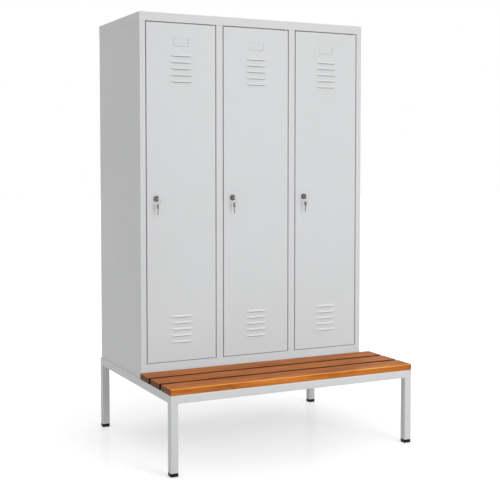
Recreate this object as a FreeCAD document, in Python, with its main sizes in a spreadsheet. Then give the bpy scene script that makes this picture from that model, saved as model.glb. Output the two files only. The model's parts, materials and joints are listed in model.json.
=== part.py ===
"""Three-door steel clothes locker that stands on a bench frame with wooden slats.

Sizes are in millimetres. The origin is on the floor under the middle of the frame, +Z is up,
the doors face -Y, and left and right are those of a person who faces the doors.
"""
import FreeCAD, Part
import math
import os
from types import SimpleNamespace

import Sketcher

VALUES = {
    # Bench frame of square tube
    "frame_width": 1200,
    "frame_depth": 925,
    "seat_depth": 365,
    "rail_top": 340,
    "tube_side": 35,
    "tube_wall": 2,
    "tube_round": 4,
    # Foot caps
    "foot_height": 16,
    "foot_bevel": 3,
    "foot_plug_depth": 20,
    "foot_plug_clearance": 0.3,
    # Bench slats
    "slat_gap": 16,
    "slat_clearance": 4,
    "slat_thickness": 28,
    "slat_round": 4,
    # Cabinet of folded sheet
    "cabinet_height": 1620,
    "cabinet_left_inset": 6,
    "cabinet_right_inset": 50,
    "sheet_thickness": 1,
    "bend_radius": 1.5,
    "header_height": 39,
    "sill_height": 65,
    "stile_width": 28,
    "mullion_width": 33,
    "lip_depth": 23,
    "base_flange": 30,
    "stop_drop": 10,
    "stop_clearance": 40,
    # Inside of each compartment
    "shelf_drop": 300,
    "shelf_setback": 45,
    "shelf_front": 22,
    "shelf_return": 10,
    "shelf_rear": 15,
    "coat_rail_radius": 9,
    "coat_rail_drop": 60,
    # Doors
    "door_gap": 4,
    "door_depth": 20,
    "door_lip": 14,
    "stiffener_width": 40,
    "stiffener_depth": 13,
    "stiffener_flange": 12,
    "stiffener_low_margin": 255,
    "stiffener_high_margin": 317,
    # Louvres
    "louvre_width": 94,
    "louvre_projection": 5,
    "louvre_height": 10.5,
    "louvre_nose": 3,
    "louvre_wall": 1.7,
    "louvre_pitch": 28.6,
    "louvre_count": 5,
    "louvre_drop": 145,
    "louvre_rise": 82,
    # Label frame
    "label_width": 72,
    "label_height": 38,
    "label_drop": 61,
    "label_border": 6,
    "label_raise": 1.5,
    # Hinge pins
    "hinge_inset": 8,
    "hinge_depth": 5,
    "pin_radius": 2.5,
    "pin_head_radius": 3.5,
    "pin_head_height": 3,
    "pin_reach": 5,
    "pin_collar_radius": 4.5,
    "running_clearance": 0.05,
    # Lock
    "lock_inset": 44,
    "lock_height": 731,
    "lock_head_radius": 13,
    "lock_head_height": 4,
    "lock_head_bevel": 1.5,
    "lock_body_radius": 9,
    "lock_body_depth": 23,
    "lock_nut_radius": 13,
    "lock_nut_height": 5,
    "plug_radius": 7,
    "plug_proud": 1,
    "tail_side": 6,
    "tail_length": 5,
    "cam_thickness": 2.5,
    "cam_width": 16,
    "cam_reach": 58,
    "cam_round": 5,
    "cam_gap": 1.2,
    # Keys and ring
    "key_thickness": 2.2,
    "key_blade_height": 8,
    "key_blade_length": 26,
    "key_neck_height": 10,
    "key_neck_length": 5,
    "key_bow_radius": 12,
    "key_hole_radius": 2.6,
    "key_hole_shift": 5,
    "keyway_clearance": 0.1,
    "ring_radius": 13,
    "ring_wall": 1.2,
    "ring_width": 1.4,
    "ring_clearance": 0.6,
}

DOOR_COUNT = 3
SLAT_NAMES = ("slat_front", "slat_middle", "slat_rear")
QUARTER_TURN = 90
HALF_RIGHT_ANGLE = math.radians(45)
HEXAGON = 6
TOUCH = 0.01

AXES = {
    "X": FreeCAD.Vector(1, 0, 0),
    "Y": FreeCAD.Vector(0, 1, 0),
    "Z": FreeCAD.Vector(0, 0, 1),
}
PLANE_ACROSS = {"X": "YZ_Plane", "Y": "XZ_Plane", "Z": "XY_Plane"}


class Size:
    """A length that carries its number and the sheet expression that gives it."""

    def __init__(self, value, text):
        self.value = value
        self.text = text

    def __add__(self, other):
        return Size(self.value + other.value, f"({self.text} + {other.text})")

    def __sub__(self, other):
        return Size(self.value - other.value, f"({self.text} - {other.text})")

    def __neg__(self):
        return Size(-self.value, f"(0 - {self.text})")

    def __mul__(self, factor):
        factor = as_size(factor)
        return Size(self.value * factor.value, f"({self.text} * {factor.text})")

    def __truediv__(self, divisor):
        divisor = as_size(divisor)
        return Size(self.value / divisor.value, f"({self.text} / {divisor.text})")


def as_size(number):
    """Lets a plain number or a size stand in a product."""
    return number if isinstance(number, Size) else Size(number, str(number))


DOC = FreeCAD.newDocument("locker")
V = SimpleNamespace(**{name: Size(number, f"Values.{name}") for name, number in VALUES.items()})
ZERO = Size(0, "0")
ONE = Size(1, "1")
PIECES = []


def write_sheet():
    """Puts every named value in a spreadsheet cell with the name as its alias."""
    sheet = DOC.addObject("Spreadsheet::Sheet", "Values")
    for row, (name, number) in enumerate(VALUES.items(), start=1):
        sheet.set(f"A{row}", name)
        sheet.set(f"B{row}", str(number))
        sheet.setAlias(f"B{row}", name)
    DOC.recompute()


# Shared steps for bodies, sketches and features


def keep(piece, name):
    """Labels a finished kind of piece and lists it for export."""
    piece.Label = name
    PIECES.append(piece)
    return piece


def new_body(name):
    """Starts a body that becomes the piece with this name."""
    return keep(DOC.addObject("PartDesign::Body", name), name)


def place(piece, x, y, z):
    """Binds the position of a piece to sheet values."""
    for letter, size in zip("xyz", (x, y, z)):
        piece.setExpression(f"Placement.Base.{letter}", size.text)


def origin_feature(body, role):
    """Finds a plane or an axis of the body's own origin."""
    return next(item for item in body.Origin.OriginFeatures if item.Role == role)


def new_sketch(body, plane, offset=ZERO):
    """Starts a sketch on an origin plane, moved along the plane's normal."""
    sketch = body.newObject("Sketcher::SketchObject", "Sketch")
    sketch.AttachmentSupport = (origin_feature(body, plane), [""])
    sketch.MapMode = "FlatFace"
    sketch.setExpression("AttachmentOffset.Base.z", offset.text)
    return sketch


def bind_point(sketch, geometry, vertex, x, y):
    """Ties one point of the sketch to sheet values."""
    for kind, size in (("DistanceX", x), ("DistanceY", y)):
        number = sketch.addConstraint(Sketcher.Constraint(kind, -1, 1, geometry, vertex, size.value))
        sketch.setExpression(f"Constraints[{number}]", size.text)


def add_polygon(sketch, corners):
    """Draws a closed outline through corners given as pairs of sizes."""
    points = [FreeCAD.Vector(x.value, y.value, 0) for x, y in corners]
    ends = points[1:] + points[:1]
    lines = sketch.addGeometry([Part.LineSegment(a, b) for a, b in zip(points, ends)], False)
    following = lines[1:] + lines[:1]
    joins = [Sketcher.Constraint("Coincident", a, 2, b, 1) for a, b in zip(lines, following)]
    sketch.addConstraint(joins)
    for line, (x, y) in zip(lines, corners):
        bind_point(sketch, line, 1, x, y)


def add_rectangle(sketch, low_x, low_y, high_x, high_y):
    """Draws a rectangle between two opposite corners."""
    add_polygon(sketch, [(low_x, low_y), (high_x, low_y), (high_x, high_y), (low_x, high_y)])


def add_circle(sketch, x, y, radius):
    """Draws a circle about a centre given as sizes."""
    centre = FreeCAD.Vector(x.value, y.value, 0)
    circle = sketch.addGeometry(Part.Circle(centre, AXES["Z"], radius.value), False)
    bind_point(sketch, circle, 3, x, y)
    number = sketch.addConstraint(Sketcher.Constraint("Radius", circle, radius.value))
    sketch.setExpression(f"Constraints[{number}]", radius.text)


def pad(body, sketch, length, backward=False, symmetric=False):
    """Pads a sketch along its normal, against it, or equally both ways."""
    feature = body.newObject("PartDesign::Pad", "Pad")
    feature.Profile = sketch
    feature.setExpression("Length", length.text)
    feature.Reversed = backward
    feature.SideType = "Symmetric" if symmetric else "One side"
    return feature


def pocket(body, sketch, length=None, along_normal=False):
    """Cuts a sketch to a length against its normal or along it, or right through both ways."""
    feature = body.newObject("PartDesign::Pocket", "Pocket")
    feature.Profile = sketch
    if length is None:
        feature.Type = "ThroughAll"
        feature.SideType = "Symmetric"
    else:
        feature.setExpression("Length", length.text)
        feature.Reversed = along_normal
    return feature


def edge_names(base, chosen):
    """Lists the edges of a feature that pass the test."""
    DOC.recompute()
    return [f"Edge{i}" for i, edge in enumerate(base.Shape.Edges, start=1) if chosen(edge)]


def round_edges(body, base, radius, chosen):
    """Rounds the edges of the base feature that pass the test."""
    feature = body.newObject("PartDesign::Fillet", "Fillet")
    feature.Base = (base, edge_names(base, chosen))
    feature.setExpression("Radius", radius.text)
    return feature


def bevel_edges(body, base, size, chosen):
    """Bevels the edges of the base feature that pass the test."""
    feature = body.newObject("PartDesign::Chamfer", "Chamfer")
    feature.Base = (base, edge_names(base, chosen))
    feature.setExpression("Size", size.text)
    return feature


def runs_along(edge, axis):
    """Tells whether an edge is straight and parallel to a named axis."""
    run = edge.Vertexes[-1].Point - edge.Vertexes[0].Point
    if run.Length < TOUCH or abs(edge.Length - run.Length) > TOUCH:
        return False
    return run.cross(AXES[axis]).Length < TOUCH


def lies_at(edge, letter, size):
    """Tells whether a whole edge lies at one value of x, y or z."""
    box = edge.BoundBox
    low = getattr(box, f"{letter.upper()}Min")
    high = getattr(box, f"{letter.upper()}Max")
    return abs(low - size.value) < TOUCH and abs(high - size.value) < TOUCH


def drill(body, centres, radius):
    """Drills straight down through everything at centres given as x and y."""
    sketch = new_sketch(body, "XY_Plane")
    for x, y in centres:
        add_circle(sketch, x, y, radius)
    return pocket(body, sketch)


def folded_outline(path, thickness):
    """Gives the outline of sheet folded along a path of right angles, metal to its right."""
    steps = [(b[0].value - a[0].value, b[1].value - a[1].value) for a, b in zip(path, path[1:])]
    inner = []
    for i, (x, y) in enumerate(path):
        for dx, dy in steps[max(i - 1, 0):i + 1]:
            if abs(dx) > abs(dy):
                inner_y = y - thickness * math.copysign(1, dx)
                y = inner_y
            else:
                inner_x = x + thickness * math.copysign(1, dy)
                x = inner_x
        inner.append((x, y))
    return path + inner[::-1]


def folded_sheet(body, plane, path, length, offset=ZERO, symmetric=False, backward=False):
    """Pads sheet of the common thickness folded along a path of right angles."""
    sketch = new_sketch(body, plane, offset)
    add_polygon(sketch, folded_outline(path, V.sheet_thickness))
    return pad(body, sketch, length, backward=backward, symmetric=symmetric)


# Positions shared by several pieces

HALF_TUBE = V.tube_side / 2
RAIL_MIDDLE = V.rail_top - HALF_TUBE
FRAME_FRONT = -V.frame_depth / 2
FRAME_REAR = V.frame_depth / 2
CABINET_FRONT = FRAME_FRONT + V.seat_depth
CABINET_DEPTH = V.frame_depth - V.seat_depth
CABINET_WIDTH = V.frame_width - V.cabinet_left_inset - V.cabinet_right_inset
CABINET_MIDDLE = (V.cabinet_left_inset - V.cabinet_right_inset) / 2
CABINET_ORIGIN = (CABINET_MIDDLE, CABINET_FRONT, V.rail_top)
CROSS_RAIL_Y = CABINET_FRONT + HALF_TUBE
SIDE_RAIL_X = V.frame_width / 2 - HALF_TUBE
SLAT_COUNT = len(SLAT_NAMES)
SLAT_WIDTH = (V.seat_depth - V.slat_clearance - V.slat_gap * (SLAT_COUNT - 1)) / SLAT_COUNT
SLAT_PITCH = SLAT_WIDTH + V.slat_gap
SLAT_MIDDLES = [FRAME_FRONT + SLAT_WIDTH / 2 + SLAT_PITCH * i for i in range(SLAT_COUNT)]

HALF_CABINET = CABINET_WIDTH / 2
WALL = HALF_CABINET - V.sheet_thickness
INNER_WALL = WALL - V.sheet_thickness
BACK = CABINET_DEPTH - V.sheet_thickness * 2
UNDER_TOP = V.cabinet_height - V.sheet_thickness
HEADER_BOTTOM = V.cabinet_height - V.header_height
OPENING_WIDTH = (CABINET_WIDTH - V.stile_width * 2 - V.mullion_width * 2) / DOOR_COUNT
OPENING_PITCH = OPENING_WIDTH + V.mullion_width
OPENING_LEFTS = [-HALF_CABINET + V.stile_width + OPENING_PITCH * i for i in range(DOOR_COUNT)]
DIVIDER_XS = [left + OPENING_WIDTH + V.mullion_width / 2 for left in OPENING_LEFTS[:-1]]
DOOR_WIDTH = OPENING_WIDTH - V.door_gap * 2
DOOR_HEIGHT = HEADER_BOTTOM - V.sill_height - V.door_gap * 2
HINGE_XS = [left + V.door_gap + DOOR_WIDTH - V.hinge_inset for left in OPENING_LEFTS]
PIN_HOLE_RADIUS = V.pin_radius + V.running_clearance
MID_SKIN = V.sheet_thickness / 2
LOUVRE_REACH = V.louvre_projection + MID_SKIN
LOUVRE_SLOPE = (V.louvre_height - V.louvre_nose) / V.louvre_projection

KEY_FACE = -V.lock_head_height - V.plug_proud
KEY_BOW_Y = KEY_FACE - V.key_neck_length - V.key_bow_radius / 2
KEY_HOLE_Y = KEY_BOW_Y - V.key_hole_shift
RING_SEAT = V.key_hole_radius - V.ring_wall / 2 - V.ring_clearance


# Bench frame


def tube(name, length, axis, x, y, z):
    """Square tube with rounded outer corners, centred on its own middle."""
    body = new_body(name)
    half_bore = HALF_TUBE - V.tube_wall
    sketch = new_sketch(body, PLANE_ACROSS[axis])
    add_rectangle(sketch, -HALF_TUBE, -HALF_TUBE, HALF_TUBE, HALF_TUBE)
    add_rectangle(sketch, -half_bore, -half_bore, half_bore, half_bore)
    walls = pad(body, sketch, length, symmetric=True)
    bore_corner = math.hypot(half_bore.value, half_bore.value) + TOUCH

    def is_outer(edge):
        middle = edge.CenterOfMass
        return runs_along(edge, axis) and middle.distanceToLine(FreeCAD.Vector(), AXES[axis]) > bore_corner

    round_edges(body, walls, V.tube_round, is_outer)
    place(body, x, y, z)
    return body


def leg(name, x, y):
    """Upright tube from the foot cap to the top of the rails, closed at the top by a plate."""
    length = V.rail_top - V.foot_height
    body = tube(name, length, "Z", x, y, V.foot_height + length / 2)
    half_bore = HALF_TUBE - V.tube_wall
    plate = new_sketch(body, "XY_Plane", length / 2 - V.tube_wall)
    add_rectangle(plate, -half_bore, -half_bore, half_bore, half_bore)
    pad(body, plate, V.tube_wall)


def foot(name, x, y):
    """Plastic cap: a head as wide as the tube and a plug that sits inside it."""
    body = new_body(name)
    head_sketch = new_sketch(body, "XY_Plane")
    add_rectangle(head_sketch, -HALF_TUBE, -HALF_TUBE, HALF_TUBE, HALF_TUBE)
    head = pad(body, head_sketch, V.foot_height)
    sides = round_edges(body, head, V.tube_round, lambda edge: runs_along(edge, "Z"))
    bevel_edges(body, sides, V.foot_bevel, lambda edge: lies_at(edge, "z", ZERO))
    half_plug = HALF_TUBE - V.tube_wall - V.foot_plug_clearance
    plug_sketch = new_sketch(body, "XY_Plane", V.foot_height)
    add_rectangle(plug_sketch, -half_plug, -half_plug, half_plug, half_plug)
    pad(body, plug_sketch, V.foot_plug_depth)
    place(body, x, y, ZERO)


def slat(name, middle):
    """Wooden slat with rounded long edges that lies on the rails and the bearer."""
    body = new_body(name)
    half = SLAT_WIDTH / 2
    sketch = new_sketch(body, "YZ_Plane")
    add_rectangle(sketch, -half, ZERO, half, V.slat_thickness)
    board = pad(body, sketch, V.frame_width, symmetric=True)
    round_edges(body, board, V.slat_round, lambda edge: runs_along(edge, "X"))
    place(body, ZERO, middle, V.rail_top)


def build_frame():
    """Legs, feet, rails, bearer and slats of the bench frame."""
    leg_y = FRAME_REAR - HALF_TUBE
    for side, x in (("left", -SIDE_RAIL_X), ("right", SIDE_RAIL_X)):
        for end, y in (("front", -leg_y), ("rear", leg_y)):
            leg(f"leg_{end}_{side}", x, y)
            foot(f"foot_{end}_{side}", x, y)
        tube(f"{side}_rail", V.frame_depth - V.tube_side * 2, "Y", x, ZERO, RAIL_MIDDLE)
    across = V.frame_width - V.tube_side * 2
    for name, y in (("front_rail", -leg_y), ("rear_rail", leg_y), ("cross_rail", CROSS_RAIL_Y)):
        tube(name, across, "X", ZERO, y, RAIL_MIDDLE)
    bearer_front = FRAME_FRONT + V.tube_side
    bearer_middle = (bearer_front + CABINET_FRONT) / 2
    tube("slat_bearer", CABINET_FRONT - bearer_front, "Y", ZERO, bearer_middle, RAIL_MIDDLE)
    for name, middle in zip(SLAT_NAMES, SLAT_MIDDLES):
        slat(name, middle)


# Cabinet, drawn from the middle of its front edge on top of the rails


def hemmed_outline(inner, middle, outer):
    """Gives the section of a wall whose top edge is folded over outwards, down to the header's lower edge."""
    return [
        (inner, ZERO),
        (middle, ZERO),
        (middle, HEADER_BOTTOM),
        (outer, HEADER_BOTTOM),
        (outer, UNDER_TOP),
        (inner, UNDER_TOP),
    ]


def side_panel(name, outline):
    """Side wall from the rail to the underside of the top, with a hem along its top edge."""
    body = new_body(name)
    sketch = new_sketch(body, "XZ_Plane")
    add_polygon(sketch, outline)
    pad(body, sketch, BACK, backward=True)
    place(body, *CABINET_ORIGIN)


def stile(name, path):
    """Folded channel inside the front edge of a side wall."""
    body = new_body(name)
    folded_sheet(body, "XY_Plane", path, HEADER_BOTTOM)
    place(body, *CABINET_ORIGIN)


def build_sides():
    """Side walls and the stiles beside the outer doors."""
    side_panel("side_left", hemmed_outline(-INNER_WALL, -WALL, -HALF_CABINET))
    side_panel("side_right", hemmed_outline(INNER_WALL, WALL, HALF_CABINET))
    left_opening = -HALF_CABINET + V.stile_width
    left = [
        (left_opening, V.lip_depth),
        (left_opening, ZERO),
        (-INNER_WALL, ZERO),
        (-INNER_WALL, V.lip_depth),
    ]
    right = [(-x, y) for x, y in reversed(left)]
    stile("stile_left", left)
    stile("stile_right", right)


def divider(name, middle):
    """Flat partition from the back of its mullion to the back panel."""
    body = new_body(name)
    sketch = new_sketch(body, "YZ_Plane", -MID_SKIN)
    add_rectangle(sketch, V.lip_depth, V.sill_height, BACK, UNDER_TOP)
    pad(body, sketch, V.sheet_thickness)
    x, y, z = CABINET_ORIGIN
    place(body, x + middle, y, z)


def mullion(name, middle):
    """Folded post between two doors, with a return that meets the partition."""
    body = new_body(name)
    half = V.mullion_width / 2
    path = [
        (half, V.lip_depth),
        (half, ZERO),
        (-half, ZERO),
        (-half, V.lip_depth),
        (MID_SKIN, V.lip_depth),
    ]
    folded_sheet(body, "XY_Plane", path, HEADER_BOTTOM - V.sill_height, offset=V.sill_height)
    x, y, z = CABINET_ORIGIN
    place(body, x + middle, y, z)


def top_panel():
    """Flat sheet that covers the header and the hems of the side and back panels."""
    body = new_body("top_panel")
    sketch = new_sketch(body, "XY_Plane", UNDER_TOP)
    add_rectangle(sketch, -HALF_CABINET, ZERO, HALF_CABINET, CABINET_DEPTH)
    pad(body, sketch, V.sheet_thickness)
    place(body, *CABINET_ORIGIN)


def header():
    """Folded beam over the doors, with the holes for the upper hinge pins and a stop for each door."""
    body = new_body("header")
    path = [
        (V.lip_depth, HEADER_BOTTOM),
        (ZERO, HEADER_BOTTOM),
        (ZERO, UNDER_TOP),
        (V.lip_depth, UNDER_TOP),
    ]
    folded_sheet(body, "YZ_Plane", path, INNER_WALL * 2, symmetric=True)
    lip_top = HEADER_BOTTOM + V.sheet_thickness
    stop_front = V.lip_depth - V.sheet_thickness
    stop_sketch = new_sketch(body, "YZ_Plane", OPENING_LEFTS[0] + V.stop_clearance)
    add_rectangle(stop_sketch, stop_front, HEADER_BOTTOM - V.stop_drop, V.lip_depth, lip_top)
    stop = pad(body, stop_sketch, OPENING_WIDTH - V.stop_clearance * 2)
    row = body.newObject("PartDesign::LinearPattern", "Stops")
    row.Originals = [stop]
    row.Direction = (origin_feature(body, "X_Axis"), [""])
    row.Mode = "Spacing"
    row.setExpression("Offset", OPENING_PITCH.text)
    row.Occurrences = DOOR_COUNT
    body.Tip = row
    holes = new_sketch(body, "XY_Plane", HEADER_BOTTOM)
    for x in HINGE_XS:
        add_circle(holes, x, V.hinge_depth, PIN_HOLE_RADIUS)
    pocket(body, holes, V.sheet_thickness * 2, along_normal=True)
    place(body, *CABINET_ORIGIN)


def floor_panel():
    """Raised floor whose front fold is the sill, notched for the stiles, with the lower hinge holes."""
    body = new_body("floor_panel")
    path = [
        (V.base_flange, ZERO),
        (ZERO, ZERO),
        (ZERO, V.sill_height),
        (BACK, V.sill_height),
        (BACK, ZERO),
        (BACK - V.base_flange, ZERO),
    ]
    folded_sheet(body, "YZ_Plane", path, INNER_WALL * 2, symmetric=True)
    notch_edge = HALF_CABINET - V.stile_width
    notches = new_sketch(body, "XY_Plane")
    add_rectangle(notches, -HALF_CABINET, -V.lip_depth, -notch_edge, V.lip_depth)
    add_rectangle(notches, notch_edge, -V.lip_depth, HALF_CABINET, V.lip_depth)
    pocket(body, notches)
    pin_holes = new_sketch(body, "XY_Plane", V.sill_height)
    for x in HINGE_XS:
        add_circle(pin_holes, x, V.hinge_depth, PIN_HOLE_RADIUS)
    pocket(body, pin_holes, V.sheet_thickness * 2)
    place(body, *CABINET_ORIGIN)


def back_panel():
    """Sheet behind the walls and partitions, with a hem along its top edge."""
    body = new_body("back_panel")
    sketch = new_sketch(body, "YZ_Plane")
    add_polygon(sketch, hemmed_outline(BACK, BACK + V.sheet_thickness, CABINET_DEPTH))
    pad(body, sketch, WALL * 2, symmetric=True)
    place(body, *CABINET_ORIGIN)


def hat_shelf(name, left, right):
    """Shelf folded from one sheet, as wide as its compartment."""
    body = new_body(name)
    level = V.cabinet_height - V.shelf_drop
    front = V.shelf_setback
    path = [
        (front + V.shelf_return, level - V.shelf_front),
        (front, level - V.shelf_front),
        (front, level),
        (BACK, level),
        (BACK, level - V.shelf_rear),
    ]
    folded_sheet(body, "YZ_Plane", path, right - left, offset=left)
    place(body, *CABINET_ORIGIN)


def coat_rails(spans):
    """Round rail across each compartment, halfway back and below its shelf."""
    body = new_body("coat_rails")
    level = V.cabinet_height - V.shelf_drop - V.coat_rail_drop
    for left, right in spans:
        sketch = new_sketch(body, "YZ_Plane", left)
        add_circle(sketch, CABINET_DEPTH / 2, level, V.coat_rail_radius)
        pad(body, sketch, right - left)
    place(body, *CABINET_ORIGIN)


def build_cabinet():
    """Carcass of folded sheet, shelves and coat rails."""
    build_sides()
    for number, middle in enumerate(DIVIDER_XS, start=1):
        divider(f"divider_{number}", middle)
        mullion(f"mullion_{number}", middle)
    top_panel()
    header()
    floor_panel()
    back_panel()
    lefts = [-INNER_WALL] + [x + MID_SKIN for x in DIVIDER_XS]
    rights = [x - MID_SKIN for x in DIVIDER_XS] + [INNER_WALL]
    spans = list(zip(lefts, rights))
    for number, (left, right) in enumerate(spans, start=1):
        hat_shelf(f"hat_shelf_{number}", left, right)
    coat_rails(spans)


# Doors, drawn from the lower left corner of the front face


def louvre_section(body, x, level, corners):
    """Draws an upright section of a louvre; y runs from the door face, z from the louvre's mouth."""
    sketch = new_sketch(body, "YZ_Plane", x)
    sketch.setExpression("AttachmentOffset.Base.y", level.text)
    add_polygon(sketch, corners)
    return sketch


def louvre_plan(body, left, right, level):
    """Draws the outline of a louvre seen from above, with a bevelled corner at each end."""
    reach = LOUVRE_REACH
    half_way = reach * math.cos(HALF_RIGHT_ANGLE)
    sketch = new_sketch(body, "XY_Plane", level)
    add_polygon(sketch, [
        (left - reach, MID_SKIN),
        (left - half_way, MID_SKIN - half_way),
        (left, MID_SKIN - reach),
        (right, MID_SKIN - reach),
        (right + half_way, MID_SKIN - half_way),
        (right + reach, MID_SKIN),
    ])
    return sketch


def press_louvres(body, level):
    """Presses one sloping hood, open underneath, and repeats it down the door."""
    left = (DOOR_WIDTH - V.louvre_width) / 2
    right = left + V.louvre_width
    skin = V.sheet_thickness
    face_drop = LOUVRE_SLOPE * V.louvre_projection
    inner_depth = V.louvre_projection - skin
    inner_crest = V.louvre_height - V.louvre_wall
    hood = pad(body, louvre_plan(body, left, right, level), V.louvre_height)
    slope = louvre_section(body, left - LOUVRE_REACH, level, [
        (ZERO, V.louvre_height),
        (-V.louvre_projection, V.louvre_height - face_drop),
        (-V.louvre_projection, V.louvre_height),
    ])
    throat = louvre_section(body, left, level, [
        (skin, ZERO),
        (-inner_depth, ZERO),
        (-inner_depth, inner_crest - LOUVRE_SLOPE * inner_depth),
        (skin, inner_crest + LOUVRE_SLOPE * skin),
    ])
    steps = [
        hood,
        pocket(body, slope, V.louvre_width + LOUVRE_REACH * 2, along_normal=True),
        pocket(body, throat, V.louvre_width, along_normal=True),
    ]
    row = body.newObject("PartDesign::LinearPattern", "Louvres")
    row.Originals = steps
    row.Direction = (origin_feature(body, "Z_Axis"), [""])
    row.Reversed = True
    row.Mode = "Spacing"
    row.setExpression("Offset", V.louvre_pitch.text)
    row.setExpression("Occurrences", V.louvre_count.text)
    body.Tip = row


def door_panel(name, origin):
    """Door pan with back lips, label frame, lock hole, pin holes and pressed louvres."""
    body = new_body(name)
    skin = V.sheet_thickness
    face = new_sketch(body, "XZ_Plane")
    add_rectangle(face, ZERO, ZERO, DOOR_WIDTH, DOOR_HEIGHT)
    block = pad(body, face, V.door_depth, backward=True)
    round_edges(body, block, V.bend_radius, lambda edge: lies_at(edge, "y", ZERO))
    hollow = new_sketch(body, "XZ_Plane", -skin)
    add_rectangle(hollow, skin, skin, DOOR_WIDTH - skin, DOOR_HEIGHT - skin)
    pocket(body, hollow, V.door_depth)
    lips = new_sketch(body, "XZ_Plane", -V.door_depth)
    add_rectangle(lips, ZERO, ZERO, V.door_lip, DOOR_HEIGHT)
    add_rectangle(lips, DOOR_WIDTH - V.door_lip, ZERO, DOOR_WIDTH, DOOR_HEIGHT)
    pad(body, lips, skin)
    add_label_frame(body)
    lock_hole = new_sketch(body, "XZ_Plane")
    add_circle(lock_hole, V.lock_inset, V.lock_height, V.lock_body_radius)
    pocket(body, lock_hole)
    drill(body, [(DOOR_WIDTH - V.hinge_inset, V.hinge_depth)], V.pin_radius)
    set_height = V.louvre_pitch * (V.louvre_count - ONE)
    for level in (DOOR_HEIGHT - V.louvre_drop, V.louvre_rise + set_height):
        press_louvres(body, level)
    place(body, *origin)


def add_label_frame(body):
    """Raises a rectangular border on the door face to hold a card."""
    left = (DOOR_WIDTH - V.label_width) / 2
    right = left + V.label_width
    top = DOOR_HEIGHT - V.label_drop
    bottom = top - V.label_height
    border = V.label_border
    frame = new_sketch(body, "XZ_Plane")
    add_rectangle(frame, left, bottom, right, top)
    add_rectangle(frame, left + border, bottom + border, right - border, top - border)
    pad(body, frame, V.label_raise)


def door_stiffener(name, origin):
    """Hat channel on the inside of the door between the two sets of louvres."""
    body = new_body(name)
    middle = DOOR_WIDTH / 2
    half = V.stiffener_width / 2
    skin = V.sheet_thickness
    crown = skin + V.stiffener_depth
    path = [
        (middle + half + V.stiffener_flange, skin),
        (middle + half, skin),
        (middle + half, crown),
        (middle - half, crown),
        (middle - half, skin),
        (middle - half - V.stiffener_flange, skin),
    ]
    length = DOOR_HEIGHT - V.stiffener_low_margin - V.stiffener_high_margin
    folded_sheet(body, "XY_Plane", path, length, offset=V.stiffener_low_margin)
    place(body, *origin)


def add_pin(body, start, length, radius, backward):
    """Adds one round length of a hinge pin."""
    sketch = new_sketch(body, "XY_Plane", start)
    add_circle(sketch, DOOR_WIDTH - V.hinge_inset, V.hinge_depth, radius)
    pad(body, sketch, length, backward=backward)


def hinge_pins(name, origin):
    """Upper and lower pin, each headed inside the door; the lower one has a collar to stand on."""
    body = new_body(name)
    skin = V.sheet_thickness
    reach = skin + V.door_gap + skin + V.pin_reach
    fixed_radius = V.pin_radius
    add_pin(body, skin, reach, fixed_radius, True)
    add_pin(body, skin, V.pin_head_height, V.pin_head_radius, False)
    add_pin(body, ZERO, V.door_gap, V.pin_collar_radius, True)
    add_pin(body, DOOR_HEIGHT - skin, reach, fixed_radius, False)
    add_pin(body, DOOR_HEIGHT - skin, V.pin_head_height, V.pin_head_radius, True)
    place(body, *origin)


# Lock and keys, drawn from the lock axis at the door's front face


def add_round(body, start, length, radius):
    """Adds a round length along the lock axis, from a distance behind the door face."""
    sketch = new_sketch(body, "XZ_Plane", -start)
    add_circle(sketch, ZERO, ZERO, radius)
    return pad(body, sketch, length, backward=True)


def lock_housing(name, origin):
    """Turned barrel with a bevelled head outside the door and a hexagon nut inside it."""
    body = new_body(name)
    bore = V.plug_radius + V.running_clearance
    face = -V.lock_head_height
    profile = new_sketch(body, "XY_Plane")
    add_polygon(profile, [
        (bore, face),
        (V.lock_head_radius - V.lock_head_bevel, face),
        (V.lock_head_radius, face + V.lock_head_bevel),
        (V.lock_head_radius, ZERO),
        (V.lock_body_radius, ZERO),
        (V.lock_body_radius, V.lock_body_depth),
        (bore, V.lock_body_depth),
    ])
    barrel = body.newObject("PartDesign::Revolution", "Barrel")
    barrel.Profile = profile
    barrel.ReferenceAxis = (profile, ["V_Axis"])
    nut = new_sketch(body, "XZ_Plane", -V.sheet_thickness)
    turns = [math.tau * corner / HEXAGON for corner in range(HEXAGON)]
    add_polygon(nut, [(V.lock_nut_radius * math.cos(t), V.lock_nut_radius * math.sin(t)) for t in turns])
    add_circle(nut, ZERO, ZERO, bore)
    pad(body, nut, V.lock_nut_height, backward=True)
    place(body, *origin)


def lock_plug(name, origin):
    """Turning core with a keyway in its face and a square tail for the cam."""
    body = new_body(name)
    add_round(body, KEY_FACE, V.lock_body_depth - KEY_FACE, V.plug_radius)
    half_tail = V.tail_side / 2
    tail = new_sketch(body, "XZ_Plane", -V.lock_body_depth)
    add_rectangle(tail, -half_tail, -half_tail, half_tail, half_tail)
    pad(body, tail, V.tail_length, backward=True)
    half_slot = V.key_thickness / 2 + V.keyway_clearance
    half_blade = V.key_blade_height / 2 + V.keyway_clearance
    keyway = new_sketch(body, "XZ_Plane", -KEY_FACE)
    add_rectangle(keyway, -half_slot, -half_blade, half_slot, half_blade)
    pocket(body, keyway, V.key_blade_length + V.keyway_clearance)
    place(body, *origin)


def lock_cam(name, origin):
    """Latch plate on the plug's tail; it hangs down when the door is unlocked."""
    body = new_body(name)
    half = V.cam_width / 2
    half_tail = V.tail_side / 2
    start = V.lock_body_depth + V.cam_gap
    sketch = new_sketch(body, "XZ_Plane", -start)
    add_rectangle(sketch, -half, -V.cam_reach, half, half)
    add_rectangle(sketch, -half_tail, -half_tail, half_tail, half_tail)
    plate = pad(body, sketch, V.cam_thickness, backward=True)

    def is_corner(edge):
        return runs_along(edge, "Y") and abs(abs(edge.CenterOfMass.x) - half.value) < TOUCH

    round_edges(body, plate, V.cam_round, is_corner)
    place(body, *origin)


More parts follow.
